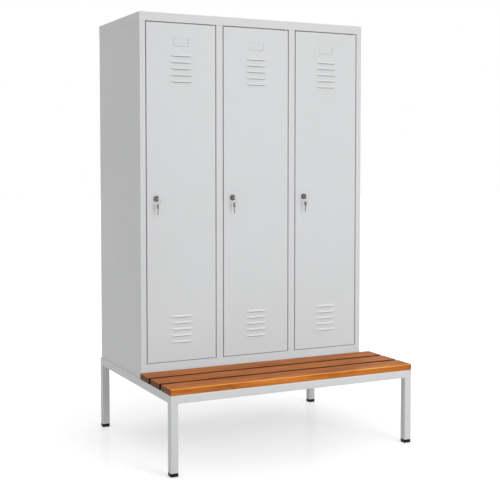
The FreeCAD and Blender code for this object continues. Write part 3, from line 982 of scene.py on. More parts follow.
@dataclass(frozen=True)
class VarnishedWood(Finish):
    """Clear varnish over straight-grained wood.

    Attributes:
        shift: Where in the pattern this board was cut.
        behind: Whether the slat lies behind another one, across a gap, and so takes the painted shade in
            that gap.
        late: Colour of the dark growth lines.
        heart: Middle colour.
        early: Colour of the light growth.
        end: Tint of the sawn ends.
        arris_highlight: Painted highlight, a light tint on the rounded upper edges.
        gap_shade: Painted shade, a dark tint on the front side of a slat down in the gap behind the slat in
            front.
        bounce: Colour of the light that the wood throws on what stands beside it.
        gloss: Roughness in the pores and between them.
        shine: Strength of the varnish's reflection.
        fibre_depth: Depth of the pores.
    """

    shift: Triple = (0.0, 0.0, 0.0)
    behind: bool = False
    late: Colour = (0.34, 0.092, 0.011)
    heart: Colour = (0.57, 0.169, 0.019)
    early: Colour = (0.70, 0.233, 0.031)
    end: Colour = (0.30, 0.33, 0.44)
    arris_highlight: Colour = (1.9, 2.3, 4.0)
    gap_shade: Colour = (0.08, 0.02, 0.005)
    bounce: Colour = (0.95, 0.94, 0.93)
    gloss: Pair = (0.56, 0.44)
    shine: float = 0.1
    fibre_depth: float = 0.04 * MM

    def build(self, grain: Tree, marks: Tree) -> Paint:
        """Draws the material.

        Args:
            grain: Group of the grain.
            marks: Group that tells a slat's sides apart.

        Returns:
            The material.
        """
        material, graph, shader = self.start()
        wood = graph.use(grain, Shift=self.shift, Late=opaque(self.late), Heart=opaque(self.heart),
                         Early=opaque(self.early))
        fibre = wood.outputs["Fibre"]
        side = graph.use(marks)
        colour = graph.tint(wood.outputs["Colour"], self.end, side.outputs["Sawn"])
        # Painted highlight on the rounded upper edges
        colour = graph.tint(colour, self.arris_highlight, side.outputs["Arris"])
        # Painted shade: darkens the front side of a slat that stands behind another, down in the gap
        # between them
        if self.behind:
            colour = graph.tint(colour, self.gap_shade, side.outputs["Front"])
        rays = graph.add("ShaderNodeLightPath")
        colour = graph.mix(colour, self.bounce, rays.outputs["Is Diffuse Ray"])
        graph.link(colour, shader.inputs["Base Color"])
        graph.link(graph.span(fibre, NOISE_GLOSS, self.gloss), shader.inputs["Roughness"])
        shader.inputs["Specular IOR Level"].default_value = self.shine
        self.bump(graph, shader, fibre, self.fibre_depth)
        return material


@dataclass(frozen=True)
class MouldedPlastic(Finish):
    """Matt moulded plastic with a fine spark-eroded skin.

    Attributes:
        light: Lightest colour.
        dark: Darkest colour.
        gloss: Lowest and highest roughness.
        shine: Strength of its reflection.
        skin_depth: Depth of the skin's relief.
    """

    light: Colour = (0.012, 0.012, 0.0125)
    dark: Colour = (0.006, 0.006, 0.0065)
    gloss: Pair = (0.5, 0.66)
    shine: float = 0.2
    skin_depth: float = 0.05 * MM

    def build(self) -> Paint:
        """Draws the material.

        Returns:
            The material.
        """
        material, graph, shader = self.start()
        skin = graph.noise(PLASTIC_SKIN)
        colour = graph.ramp(skin, tuple(zip(NOISE_TONES, (self.dark, self.light))))
        graph.link(colour, shader.inputs["Base Color"])
        graph.link(graph.span(skin, NOISE_GLOSS, self.gloss), shader.inputs["Roughness"])
        shader.inputs["Specular IOR Level"].default_value = self.shine
        self.bump(graph, shader, skin, self.skin_depth)
        return material


@dataclass(frozen=True)
class PlatedMetal(Finish):
    """Plated metal with fine rub marks.

    Attributes:
        light: Colour of the clean plating.
        dark: Colour in the rub marks.
        gloss: Lowest and highest roughness.
        fineness: Fineness of the rub marks.
        rub_depth: Depth of the rub marks.
    """

    light: Colour = (0.62, 0.62, 0.62)
    dark: Colour = (0.45, 0.45, 0.455)
    gloss: Pair = (0.22, 0.40)
    fineness: float = 900.0
    rub_depth: float = 0.01 * MM

    def build(self, texture: Tree) -> Paint:
        """Draws the material.

        Args:
            texture: Group of the rub marks.

        Returns:
            The material.
        """
        material, graph, shader = self.start()
        rub = graph.use(texture, Fineness=self.fineness).outputs["Rub"]
        colour = graph.ramp(rub, tuple(zip(RUB_TONES, (self.dark, self.light))))
        smoothest, roughest = self.gloss
        graph.link(colour, shader.inputs["Base Color"])
        graph.link(graph.span(rub, RUB_GLOSS, (roughest, smoothest)), shader.inputs["Roughness"])
        shader.inputs["Metallic"].default_value = 1.0
        self.bump(graph, shader, rub, self.rub_depth)
        return material


# The locker's own finishes
FINE_RUB = 2400.0
GREY_COAT = PowderCoat("light grey powder coat")
BLACK_PLASTIC = MouldedPlastic("black foot plastic")
SLAT_FINISHES = {
    "slat_front": VarnishedWood(
        "varnished slat front", shift=(0.3, 0.0, 0.2), late=(0.36, 0.102, 0.015),
        heart=(0.605, 0.187, 0.025), early=(0.74, 0.256, 0.039)),
    "slat_middle": VarnishedWood("varnished slat middle", shift=(7.1, 2.3, 1.7), behind=True),
    "slat_rear": VarnishedWood("varnished slat rear", shift=(13.4, 5.2, 3.9), behind=True),
}
ZINC = PlatedMetal("bright zinc", light=(0.55, 0.56, 0.57), dark=(0.42, 0.43, 0.44), gloss=(0.30, 0.46))
# Painted reflection: a dark nickel on the lock's head, barrel and nut stands in for the dark reflection of
# its chrome; the plug keeps a light nickel
LOCK_NICKEL_DARK_REFLECTION = PlatedMetal(
    "nickel lock", light=(0.17, 0.17, 0.174), dark=(0.10, 0.10, 0.103), gloss=(0.20, 0.34),
    fineness=FINE_RUB)
PLUG_NICKEL = PlatedMetal(
    "nickel plug", light=(0.52, 0.52, 0.52), dark=(0.38, 0.38, 0.385), gloss=(0.20, 0.34),
    fineness=FINE_RUB)
KEY_NICKEL = PlatedMetal(
    "nickel key", light=(0.42, 0.42, 0.42), dark=(0.29, 0.29, 0.295), gloss=(0.24, 0.38),
    fineness=FINE_RUB)


class Palette:
    """All materials of the locker.

    Attributes:
        slats: Material of each slat, by its CAD node.
        plug: Material of the lock's plug.
        paints: Material of each slot of the record.
    """

    def __init__(self) -> None:
        """Draws every material once."""
        rub = rub_texture()
        grain = grain_texture()
        marks = slat_marks()
        self.slats = {node: finish.build(grain, marks) for node, finish in SLAT_FINISHES.items()}
        self.plug = PLUG_NICKEL.build(rub)
        self.paints = {
            Slot.STEEL: GREY_COAT.build(coat_texture()),
            Slot.WOOD: self.slats["slat_front"],
            Slot.PLASTIC: BLACK_PLASTIC.build(),
            Slot.ZINC: ZINC.build(rub),
            Slot.LOCK: LOCK_NICKEL_DARK_REFLECTION.build(rub),
            Slot.KEY: KEY_NICKEL.build(rub),
        }


# Sub-assemblies


@dataclass
class SubAssembly:
    """What every sub-assembly has.

    Attributes:
        palette: Materials.
    """

    palette: Palette

    def fit(self, piece: Piece, body: str, slot: Slot, *nodes: str, paint: Optional[Paint] = None) -> None:
        """Dresses a finished piece and sets it on its body.

        Args:
            piece: Finished piece.
            body: Body that it moves with.
            slot: Material slot of the record that it takes its finish from.
            nodes: CAD nodes that it stands for.
            paint: Its material, if it isn't the slot's usual one.
        """
        smooth(piece)
        piece.data.materials.clear()
        piece.data.materials.append(paint or self.palette.paints[slot])
        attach(piece, body)
        if nodes:
            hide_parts(*nodes)
        LOG.info("%s rides on %s and stands for %s", piece.name, body, ", ".join(nodes) or "no node")


@dataclass
class BenchFrame(SubAssembly):
    """Legs, rails and foot caps of the bench.

    Attributes:
        corner: Rounding of the tube's corners.
        wall: Wall of the tube.
        weld: Rounding of a leg's welded top plate.
        foot_bevel: Bevel under a foot cap.
        plug_rim: Rim of the foot cap round its plug.
    """

    corner: float = 4 * MM
    wall: float = 2 * MM
    weld: float = 1 * MM
    foot_bevel: float = 3 * MM
    plug_rim: float = 2.3 * MM

    def build(self) -> None:
        """Makes every tube and foot cap."""
        for node, axis in RAILS.items():
            self.tube(node, axis)
        first = LEG_PLACES[0]
        leg = self.leg(f"leg_{first}")
        foot = self.foot(f"foot_{first}", Box.of_node(f"leg_{first}").low.z)
        home = Box.of_node(f"leg_{first}").centre
        for place in LEG_PLACES[1:]:
            move = Box.of_node(f"leg_{place}").centre - home
            self.fit(copy_of(leg, f"leg_{place}_tube", move), FRAME, Slot.STEEL, f"leg_{place}")
            self.fit(copy_of(foot, f"foot_{place}_cap", move), FRAME, Slot.PLASTIC, f"foot_{place}")
        self.fit(leg, FRAME, Slot.STEEL, f"leg_{first}")
        self.fit(foot, FRAME, Slot.PLASTIC, f"foot_{first}")

    def tube(self, node: str, axis: Axis) -> None:
        """Makes one rail of square tube, whose welded ends reach into the rounding of what it meets.

        Args:
            node: CAD node that it stands for.
            axis: Direction that it runs in.
        """
        space = Box.of_node(node)
        reach = axis.vector * self.corner
        piece = add_block(f"{node}_tube", Box(space.low - reach, space.high + reach))
        remove_faces(piece, faces(axis))
        bevel(piece, edges(axis), self.corner, steps=5)
        thicken(piece, self.wall)
        self.fit(piece, FRAME, Slot.STEEL, node)

    def leg(self, node: str) -> Piece:
        """Makes a leg, open below for its foot cap and closed on top.

        Args:
            node: CAD node that it stands for.

        Returns:
            The leg.
        """
        space = Box.of_node(node)
        piece = add_block(f"{node}_tube", space)
        remove_faces(piece, faces(Axis.Z, Way.DOWN))
        bevel(piece, edges(Axis.Z), self.corner, steps=5)
        bevel(piece, edges(Z=space.high.z), self.weld, steps=2)
        thicken(piece, self.wall)
        return piece

    def foot(self, node: str, top: float) -> Piece:
        """Makes a foot cap with its plug.

        Args:
            node: CAD node that it stands for.
            top: Height of the cap's head, where its leg ends.

        Returns:
            The cap.
        """
        space = Box.of_node(node)
        piece = add_block(f"{node}_cap", Box(space.low, Vector((*space.high.xy, top))))
        bevel(piece, edges(Axis.Z), self.corner, steps=4)
        step_in(piece, faces(Axis.Z, Way.UP), self.plug_rim, (0, 0, space.high.z - top))
        bevel(piece, edges(Z=space.low.z), self.foot_bevel, steps=3)
        return piece


@dataclass
class SeatSlats(SubAssembly):
    """Wooden slats of the seat and the screws that hold them from below.

    Attributes:
        edge: Rounding of the long edges.
        end: Rounding of the sawn ends.
        head_radius: Radius of a screw head.
        head_height: Height of a screw head.
        head_bevel: Rounding of a screw head.
        driver_slot: Width, length and height of what is cut out of a screw head.
    """

    edge: float = 4 * MM
    end: float = 3 * MM
    head_radius: float = 5 * MM
    head_height: float = 3 * MM
    head_bevel: float = 1.8 * MM
    driver_slot: Triple = (1.2 * MM, 7 * MM, 2.4 * MM)

    def build(self) -> None:
        """Makes one slat, copies it, and makes the screws."""
        first = SLATS[0]
        board = self.board(first)
        home = Box.of_node(first).low
        for node in SLATS[1:]:
            copy = copy_of(board, f"{node}_board", Box.of_node(node).low - home)
            self.fit(copy, FRAME, Slot.WOOD, node, paint=self.palette.slats[node])
        self.fit(board, FRAME, Slot.WOOD, first, paint=self.palette.slats[first])
        self.screws()

    def board(self, node: str) -> Piece:
        """Makes a slat with rounded edges.

        Args:
            node: CAD node that it stands for.

        Returns:
            The slat.
        """
        space = Box.of_node(node)
        piece = add_block(f"{node}_board", space)
        bevel(piece, edges(Axis.X), self.edge, steps=6)
        for end in (space.low.x, space.high.x):
            bevel(piece, edges(X=end), self.end, steps=4)
        return piece

    def screws(self) -> None:
        """Makes one round screw head and copies it under the side rails and the bearer."""
        rows = [Box.of_node(node).centre.y for node in SLATS]
        supports = [Box.of_node(node) for node in SLAT_SUPPORTS]
        level = supports[0].low.z - self.head_height
        places = [Vector((support.centre.x, row, level)) for support in supports for row in rows]
        start = places[0]
        screw = add_round("slat_screw_1", start, self.head_height, self.head_radius, Axis.Z, corners=24)
        bevel(screw, edges(Z=level), self.head_bevel, steps=3)
        combine(screw, add_block("driver_slot", Box.about(start, self.driver_slot)), Cut.REMOVE)
        for number, place in enumerate(places[1:], start=2):
            self.fit(copy_of(screw, f"slat_screw_{number}", place - start), FRAME, Slot.ZINC)
        self.fit(screw, FRAME, Slot.ZINC)


@dataclass
class Cabinet(SubAssembly):
    """Folded sheets that close the cabinet.

    Attributes:
        sheet: Thickness of the sheet.
        bend: Outer radius of a fold.
        stop_drop: How far the door stops hang below the header.
        stop_clearance: Distance from an opening's edge to its stop.
        stop_edge: Rounding of a stop's edges.
        back_edge: Rounding of the back's edges.
    """

    sheet: float = 1 * MM
    bend: float = 1.8 * MM
    stop_drop: float = 10 * MM
    stop_clearance: float = 40 * MM
    stop_edge: float = 0.3 * MM
    back_edge: float = 0.25 * MM

    def build(self) -> None:
        """Makes the sides, mullions, cap and back."""
        for side in Side:
            self.wall(side)
        self.mullions()
        self.cap()
        self.back()

    def wall(self, side: Side) -> None:
        """Makes a side wall that is folded into its stile.

        Args:
            side: Which side.
        """
        wall = Box.of_node(f"side_{side.value}")
        stile = Box.of_node(f"stile_{side.value}")
        low = Vector((stile.low.x, stile.low.y, wall.low.z))
        high = Vector((stile.high.x, wall.high.y, stile.high.z))
        if side is Side.LEFT:
            low.x -= self.sheet
            inner = high.x
        else:
            high.x += self.sheet
            inner = low.x
        piece = add_block(f"side_{side.value}_sheet", Box(low, high))
        remove_faces(piece, either(faces(Axis.Y, Way.UP), faces(Axis.Z), faces(Axis.X, side.inwards)))
        fold_out(piece, edges(X=inner, Y=low.y), (0, stile.size.y, 0))
        bevel(piece, edges(Axis.Z, Y=low.y), self.bend, steps=4)
        thicken(piece, self.sheet)
        self.fit(piece, FRAME, Slot.STEEL, f"side_{side.value}", f"stile_{side.value}")

    def mullions(self) -> None:
        """Makes the folded post between two doors and copies it."""
        first = MULLIONS[0]
        space = Box.of_node(first)
        piece = add_block(f"{first}_post", space)
        remove_faces(piece, either(faces(Axis.Y, Way.UP), faces(Axis.Z)))
        reach = (space.size.x + self.sheet) / 2
        fold_out(piece, edges(X=space.low.x, Y=space.high.y), (reach, 0, 0))
        bevel(piece, edges(Axis.Z, Y=space.low.y), self.bend, steps=4)
        thicken(piece, self.sheet)
        for node in MULLIONS[1:]:
            copy = copy_of(piece, f"{node}_post", Box.of_node(node).low - space.low)
            self.fit(copy, FRAME, Slot.STEEL, node)
        self.fit(piece, FRAME, Slot.STEEL, first)

    def cap(self) -> None:
        """Makes the top, folded down into the header and a band round the cabinet, with the door stops."""
        top = Box.of_node("top_panel")
        bottom = Box.of_node("stile_left").high.z
        lip = Box.of_node("header").size.y
        piece = add_block("top_cap_sheet", Box(Vector((*top.low.xy, bottom)), top.high))
        remove_faces(piece, faces(Axis.Z, Way.DOWN))
        front_fold = edges(Axis.X, Y=top.low.y, Z=bottom)
        fold_out(piece, front_fold, (0, lip, 0))
        bevel(piece, either(edges(Z=top.high.z), edges(Axis.Z)), self.bend, steps=4)
        bevel(piece, front_fold, self.bend, steps=3)
        thicken(piece, self.sheet)
        stops = self.stops(bottom, top.low.y + lip)
        self.fit(join([piece, *stops]), FRAME, Slot.STEEL, "header", "top_panel")

    def stops(self, bottom: float, rear: float) -> list[Piece]:
        """Makes the strip that a door closes against and copies it.

        Args:
            bottom: Height of the header's lower edge.
            rear: Rear edge of the header's lip.

        Returns:
            The strips.
        """
        doors = [Box.of_node(f"door_{number}") for number in DOOR_NUMBERS]
        first = doors[0]
        low = Vector((first.low.x + self.stop_clearance, rear - self.sheet, bottom - self.stop_drop))
        high = Vector((first.high.x - self.stop_clearance, rear, bottom + self.sheet / 2))
        strip = add_block("door_stop", Box(low, high))
        soften(strip, self.stop_edge)
        return repeat(strip, [door.low - first.low for door in doors[1:]])

    def back(self) -> None:
        """Makes the flat back."""
        space = Box.of_node("back_panel")
        high = Vector((space.high.x, space.low.y + self.sheet, space.high.z))
        piece = add_block("back_panel_sheet", Box(space.low, high))
        soften(piece, self.back_edge)
        self.fit(piece, FRAME, Slot.STEEL, "back_panel")


@dataclass
class Doors(SubAssembly):
    """Folded doors with pressed louvres and a label frame.

    Attributes:
        sheet: Thickness of the sheet.
        depth: Depth of the pan.
        bend: Outer radius of a fold.
        lip: Width of the back lips.
        foot_reach: How far the lower fold reaches below the CAD door.
        cutter: Length of what cuts through the sheet.
        lap: How far louvres and label frame reach into the sheet.
        louvre_width: Width of a louvre between its rounded ends.
        louvre_reach: How far a louvre stands out of the face.
        louvre_height: Height of a louvre.
        louvre_nose: Height of its upright nose.
        louvre_pitch: Distance between two louvres.
        louvre_count: Number of louvres in a set.
        louvre_drop: Distance from the door's top to the first louvre's mouth.
        louvre_rise: Distance from the door's bottom to the last louvre's mouth.
        louvre_taper: Length over which an end of a louvre falls back to the face.
        louvre_spare: What a louvre is made larger by below and behind, and trimmed off.
        louvre_edge: Rounding of a louvre's edges.
        louvre_wall: Thickness of the pressed sheet.
        slot_height: Height of the slot behind a louvre, above its mouth.
        slot_drops: How far the slots behind the upper and the lower louvres reach below their mouths.
        slot_share: Width of a slot's lower edge, as a share of the louvre's.
        label_width: Width of the label frame.
        label_height: Height of the label frame.
        label_drop: Distance from the door's top to the label frame.
        label_border: Width of the frame's border.
        label_raise: How far the frame stands out.
        label_recess: How far the middle of the frame lies behind its border.
        label_corner: Rounding of the frame's corners.
        label_edge: Rounding of the frame's edges.
        side_slit: Width of the slit that was lanced beside the frame.
        foot_slit: Width of the slit below the frame.
    """

    sheet: float = 1 * MM
    depth: float = 20 * MM
    bend: float = 1.5 * MM
    lip: float = 14 * MM
    foot_reach: float = 1.8 * MM
    cutter: float = 4 * MM
    lap: float = 0.4 * MM
    louvre_width: float = 103 * MM
    louvre_reach: float = 5 * MM
    louvre_height: float = 10.5 * MM
    louvre_nose: float = 1.5 * MM
    louvre_pitch: float = 28.6 * MM
    louvre_count: int = 5
    louvre_drop: float = 145 * MM
    louvre_rise: float = 82 * MM
    louvre_taper: float = 22 * MM
    louvre_spare: float = 3 * MM
    louvre_edge: float = 1.2 * MM
    louvre_wall: float = 0.9 * MM
    slot_height: float = 6.3 * MM
    slot_drops: Pair = (1.35 * MM, 2.3 * MM)
    slot_share: float = 0.6
    label_width: float = 72 * MM
    label_height: float = 38 * MM
    label_drop: float = 61 * MM
    label_border: float = 6 * MM
    label_raise: float = 1.5 * MM
    label_recess: float = 1.35 * MM
    label_corner: float = 2.5 * MM
    label_edge: float = 0.4 * MM
    side_slit: float = 1.3 * MM
    foot_slit: float = 0.7 * MM

    def build(self) -> None:
        """Makes one door and copies it."""
        first = Box.of_node("door_1")
        face = first.high.y - self.depth
        door = self.pan(first, face)
        join([door, *self.hoods(first, face), self.label(first, face)])
        for number in DOOR_NUMBERS[1:]:
            name = f"door_{number}"
            copy = copy_of(door, f"{name}_pan", Box.of_node(name).low - first.low)
            self.fit(copy, name, Slot.STEEL, name)
        self.fit(door, "door_1", Slot.STEEL, "door_1")

    def levels(self, space: Box) -> tuple[list[float], list[float]]:
        """Gives the height of every louvre's mouth.

        Args:
            space: Space of the door.

        Returns:
            Heights in the upper set and in the lower set.
        """
        steps = [self.louvre_pitch * number for number in range(self.louvre_count)]
        upper = [space.high.z - self.louvre_drop - step for step in steps]
        lower = [space.low.z + self.louvre_rise + step for step in steps]
        return upper, lower

    def pan(self, space: Box, face: float) -> Piece:
        """Makes the folded pan with slots behind its louvres.

        Args:
            space: Space of the door.
            face: Place of its front face.

        Returns:
            The pan.
        """
        low = Vector((space.low.x, face, space.low.z - self.foot_reach))
        piece = add_block("door_1_pan", Box(low, space.high))
        remove_faces(piece, faces(Axis.Y, Way.UP))
        for edge, width in ((space.low.x, self.lip), (space.high.x, -self.lip)):
            fold_out(piece, edges(Axis.Z, X=edge, Y=space.high.y), (width, 0, 0))
        bevel(piece, either(edges(Y=face), edges(Axis.Y)), self.bend, steps=4)
        thicken(piece, self.sheet)
        cutters = [*self.slots(space, face), *self.slits(space, face)]
        combine(piece, join(cutters), Cut.REMOVE)
        return piece

    def slots(self, space: Box, face: float) -> list[Piece]:
        """Makes the cutters of the slots behind the louvres.

        Args:
            space: Space of the door.
            face: Place of its front face.

        Returns:
            The cutters, from one model for each set of louvres.
        """
        pieces = []
        for levels, drop in zip(self.levels(space), self.slot_drops):
            first = self.slot(Vector((space.centre.x, face, levels[0])), drop)
            pieces += repeat(first, [Vector((0, 0, level - levels[0])) for level in levels[1:]])
        return pieces

    def slot(self, mouth: Vector, drop: float) -> Piece:
        """Makes the cutter of one louvre's slot, which narrows below the mouth.

        Args:
            mouth: Middle of the louvre's mouth on the door's face.
            drop: How far the slot reaches below the mouth.

        Returns:
            The cutter.
        """
        middle = mouth + Vector((0, 0, self.slot_height / 2))
        foot = mouth - Vector((0, 0, drop))
        piece = add_block("slot", Box.about(middle, (self.louvre_width, self.cutter, self.slot_height)))
        select_faces(piece, faces(Axis.Z, Way.DOWN))
        bpy.ops.mesh.extrude_region_move(TRANSFORM_OT_translate={"value": foot - mouth})
        bpy.ops.transform.resize(value=(self.slot_share, 1, 1), center_override=foot)
        begin()
        return piece

    def slits(self, space: Box, face: float) -> list[Piece]:
        """Makes the cutters of the two slits at the label frame.

        Args:
            space: Space of the door.
            face: Place of its front face.

        Returns:
            The cutters.
        """
        middle = space.centre.x
        foot = space.high.z - self.label_drop - self.label_height
        beside = (middle + (self.label_width + self.side_slit) / 2, face, foot + self.label_height / 2)
        below = (middle, face, foot - self.foot_slit / 2)
        height = self.label_height - 2 * self.label_corner
        width = self.label_width - 2 * self.label_corner
        return [
            add_block("slit", Box.about(beside, (self.side_slit, self.cutter, height))),
            add_block("slit", Box.about(below, (width, self.cutter, self.foot_slit))),
        ]

    def hoods(self, space: Box, face: float) -> list[Piece]:
        """Makes one pressed louvre, open underneath, and copies it.

        Args:
            space: Space of the door.
            face: Place of the door's front face.

        Returns:
            The louvres, from the upper set to the lower one.
        """
        upper, lower = self.levels(space)
        level = upper[0]
        half = self.louvre_width / 2 + self.louvre_reach
        low = Vector((space.centre.x - half, face - self.louvre_reach, level - self.louvre_spare))
        high = Vector((space.centre.x + half, face + self.louvre_spare, level + self.louvre_height))
        piece = add_block("hood", Box(low, high))
        fall = self.louvre_height - self.louvre_nose
        cut_off(piece, Vector((0, face, high.z)), Vector((0, -fall, self.louvre_reach)))
        cut_off(piece, Vector((low.x, face, 0)), Vector((-self.louvre_reach, -self.louvre_taper, 0)))
        cut_off(piece, Vector((high.x, face, 0)), Vector((self.louvre_reach, -self.louvre_taper, 0)))
        soften(piece, self.louvre_edge, steps=3, angle=15.0)
        cut_off(piece, Vector((0, 0, level)), -Axis.Z.vector, closed=False)
        cut_off(piece, Vector((0, face + self.lap, 0)), Axis.Y.vector, closed=False)
        thicken(piece, self.louvre_wall)
        return repeat(piece, [Vector((0, 0, other - level)) for other in (*upper[1:], *lower)])

    def label(self, space: Box, face: float) -> Piece:
        """Makes the raised frame for a card.

        Args:
            space: Space of the door.
            face: Place of the door's front face.

        Returns:
            The frame.
        """
        top = space.high.z - self.label_drop
        half = self.label_width / 2
        low = Vector((space.centre.x - half, face - self.label_raise, top - self.label_height))
        high = Vector((space.centre.x + half, face + self.lap, top))
        piece = add_block("label_frame", Box(low, high))
        step_in(piece, faces(Axis.Y, Way.DOWN), self.label_border, (0, self.label_recess, 0))
        bevel(piece, edges(Axis.Y), self.label_corner, steps=4)
        soften(piece, self.label_edge, steps=2, angle=60.0)
        return piece


@dataclass
class CamLocks(SubAssembly):
    """Cylinder locks with a key in each and a second key on a ring.

    Attributes:
        head_radius: Radius of the lock's head.
        head_height: How far the head stands out of the door.
        head_bevel: Rounding of the head's rim.
        clearance: Play round the plug and round the key's blade.
        pocket: Depth of the opening that the plug shows in.
        barrel_radius: Radius of the barrel.
        barrel_depth: Depth of the barrel behind the face.
        nut_radius: Radius of the nut to its corners.
        nut_height: Height of the nut.
        nut_place: Distance from the door's face to the nut.
        nut_edge: Rounding of the nut's edges.
        plug_radius: Radius of the turning plug.
        plug_proud: How far the plug stands out of the head.
        plug_bevel: Rounding of the plug's rim.
        tail_side: Side of the plug's square tail.
        tail_length: Length of that tail.
        tail_lap: How far the tail starts inside the plug.
        tail_edge: Rounding of the tail's edges.
        key_thickness: Thickness of a key.
        key_edge: Rounding of a key's edges.
        bow_radius: Radius of a key's bow.
        bow_place: Distance from the door's face to the bow's middle.
        hole_place: Distance from the door's face to the hole in the bow.
        hole_radius: Radius of that hole.
        neck_height: Height of the neck.
        neck_length: Length of the neck.
        neck_lap: How far the neck reaches into the bow.
        blade_thickness: Thickness of the blade.
        blade_height: Height of the blade.
        blade_length: Length of the blade.
        blade_lap: How far the blade reaches into the neck.
        teeth: Depth of each tooth cut, from the neck to the tip.
        tooth_place: Distance from the plug's face to the first tooth cut.
        tooth_pitch: Distance between two tooth cuts.
        wire: Radius of the ring's wire.
        wire_corners: Number of sides of the wire.
        ring_steps: Number of steps round the ring.
    """

    head_radius: float = 13 * MM
    head_height: float = 4 * MM
    head_bevel: float = 1.5 * MM
    clearance: float = 0.1 * MM
    pocket: float = 2 * MM
    barrel_radius: float = 9 * MM
    barrel_depth: float = 23 * MM
    nut_radius: float = 13 * MM
    nut_height: float = 5 * MM
    nut_place: float = 1 * MM
    nut_edge: float = 0.5 * MM
    plug_radius: float = 7 * MM
    plug_proud: float = 1 * MM
    plug_bevel: float = 0.6 * MM
    tail_side: float = 6 * MM
    tail_length: float = 5 * MM
    tail_lap: float = 1 * MM
    tail_edge: float = 0.4 * MM
    key_thickness: float = 2.2 * MM
    key_edge: float = 0.25 * MM
    bow_radius: float = 12 * MM
    bow_place: float = 16 * MM
    hole_place: float = 21 * MM
    hole_radius: float = 2.6 * MM
    neck_height: float = 10 * MM
    neck_length: float = 5 * MM
    neck_lap: float = 2 * MM
    blade_thickness: float = 2.112 * MM
    blade_height: float = 8 * MM
    blade_length: float = 26 * MM
    blade_lap: float = 0.5 * MM
    teeth: tuple[float, ...] = (1.28 * MM, 2.72 * MM, 2.0 * MM, 1.28 * MM, 2.72 * MM)
    tooth_place: float = 7.28 * MM
    tooth_pitch: float = 3.9 * MM
    wire: float = 0.34 * MM
    wire_corners: int = 12
    ring_steps: int = 56

    def build(self) -> None:
        """Makes one lock with its keys and copies it to the other doors."""
        middle = self.middle(1)
        housing = self.housing(middle)
        plug = self.plug(middle)
        ring = self.ring(Box.of_node("key_ring_1"))
        blank = self.key()
        key = copy_of(blank, "key_1_cut", middle)
        hang = Box.of_node("spare_key_1")
        tip = self.blade_length - self.head_height - self.plug_proud
        drop = Vector((middle.x, hang.centre.y, hang.low.z + tip))
        spare = copy_of(blank, "spare_key_1_cut", drop, Matrix.Rotation(math.radians(-90), 4, "X"))
        bpy.data.objects.remove(blank)
        self.spread(housing, "lock_housing", "door", Slot.LOCK)
        self.spread(plug, "lock_plug", "lock", Slot.LOCK, self.palette.plug)
        self.spread(ring, "key_ring", "spare_key", Slot.KEY)
        self.spread(key, "key", "lock", Slot.KEY)
        self.spread(spare, "spare_key", "spare_key", Slot.KEY)

    def spread(self, piece: Piece, node: str, body: str, slot: Slot, paint: Optional[Paint] = None) -> None:
        """Copies a piece of the first lock to the other locks and dresses them all.

        Args:
            piece: Finished piece of the first lock.
            node: CAD node that it stands for, without its number.
            body: Body that it moves with, without its number.
            slot: Material slot of the record.
            paint: Its material, if it isn't the slot's usual one.
        """
        home = self.middle(1)
        for number in DOOR_NUMBERS[1:]:
            name = piece.name.replace("_1", f"_{number}")
            copy = copy_of(piece, name, self.middle(number) - home)
            self.fit(copy, f"{body}_{number}", slot, f"{node}_{number}", paint=paint)
        self.fit(piece, f"{body}_1", slot, f"{node}_1", paint=paint)

    def middle(self, number: int) -> Vector:
        """Gives the middle of a lock on its door's face."""
        plug = Box.of_node(f"lock_plug_{number}")
        return Vector((plug.centre.x, plug.low.y + self.plug_proud + self.head_height, plug.centre.z))

    def housing(self, middle: Vector) -> Piece:
        """Makes the head, the barrel and the nut.

        Args:
            middle: Middle of the lock on the door's face.

        Returns:
            The housing.
        """
        front = middle.y - self.head_height
        start = Vector((middle.x, front, middle.z))
        piece = add_round("lock_housing_1_body", start, self.head_height, self.head_radius, Axis.Y)
        bevel(piece, edges(Y=front), self.head_bevel, steps=4)
        rim = self.head_radius - self.head_bevel - self.plug_radius - self.clearance
        step_in(piece, faces(Axis.Y, Way.DOWN, front), rim, (0, self.pocket, 0))
        shoulder = self.head_radius - self.barrel_radius
        step_in(piece, faces(Axis.Y, Way.UP, middle.y), shoulder, (0, self.barrel_depth, 0))
        seat = middle + Axis.Y.vector * self.nut_place
        nut = add_round("nut", seat, self.nut_height, self.nut_radius, Axis.Y, corners=6)
        soften(nut, self.nut_edge)
        return join([piece, nut])

    def plug(self, middle: Vector) -> Piece:
        """Makes the turning plug with its keyway and its tail.

        Args:
            middle: Middle of the lock on the door's face.

        Returns:
            The plug.
        """
        front = middle.y - self.head_height - self.plug_proud
        rear = middle.y + self.barrel_depth
        start = Vector((middle.x, front, middle.z))
        piece = add_round("lock_plug_1_core", start, rear - front, self.plug_radius, Axis.Y)
        bevel(piece, edges(Y=front), self.plug_bevel, steps=2)
        place = (middle.x, rear + (self.tail_length - self.tail_lap) / 2, middle.z)
        size = (self.tail_side, self.tail_length + self.tail_lap, self.tail_side)
        tail = add_block("tail", Box.about(place, size))
        soften(tail, self.tail_edge)
        combine(piece, tail, Cut.ADD)
        play = 2 * self.clearance
        place = (middle.x, front + self.blade_length / 2, middle.z)
        size = (self.key_thickness + play, self.blade_length + play, self.blade_height + play)
        combine(piece, add_block("keyway", Box.about(place, size)), Cut.REMOVE)
        return piece

    def key(self) -> Piece:
        """Makes a flat key with cut teeth, its lock's middle at the origin.

        Returns:
            The key.
        """
        thick = self.key_thickness
        face = -self.head_height - self.plug_proud
        start = Vector((-thick / 2, -self.bow_place, 0))
        bow = add_round("key_cut", start, thick, self.bow_radius, Axis.X, corners=40)
        length = self.neck_length + self.neck_lap
        neck = add_block("neck", Box.about((0, face - length / 2, 0), (thick, length, self.neck_height)))
        combine(bow, neck, Cut.ADD)
        combine(bow, self.blade(face), Cut.ADD)
        start = Vector((-thick, -self.hole_place, 0))
        hole = add_round("hole", start, 2 * thick, self.hole_radius, Axis.X, corners=32)
        combine(bow, hole, Cut.REMOVE)
        soften(bow, self.key_edge, steps=2, angle=50.0)
        return bow

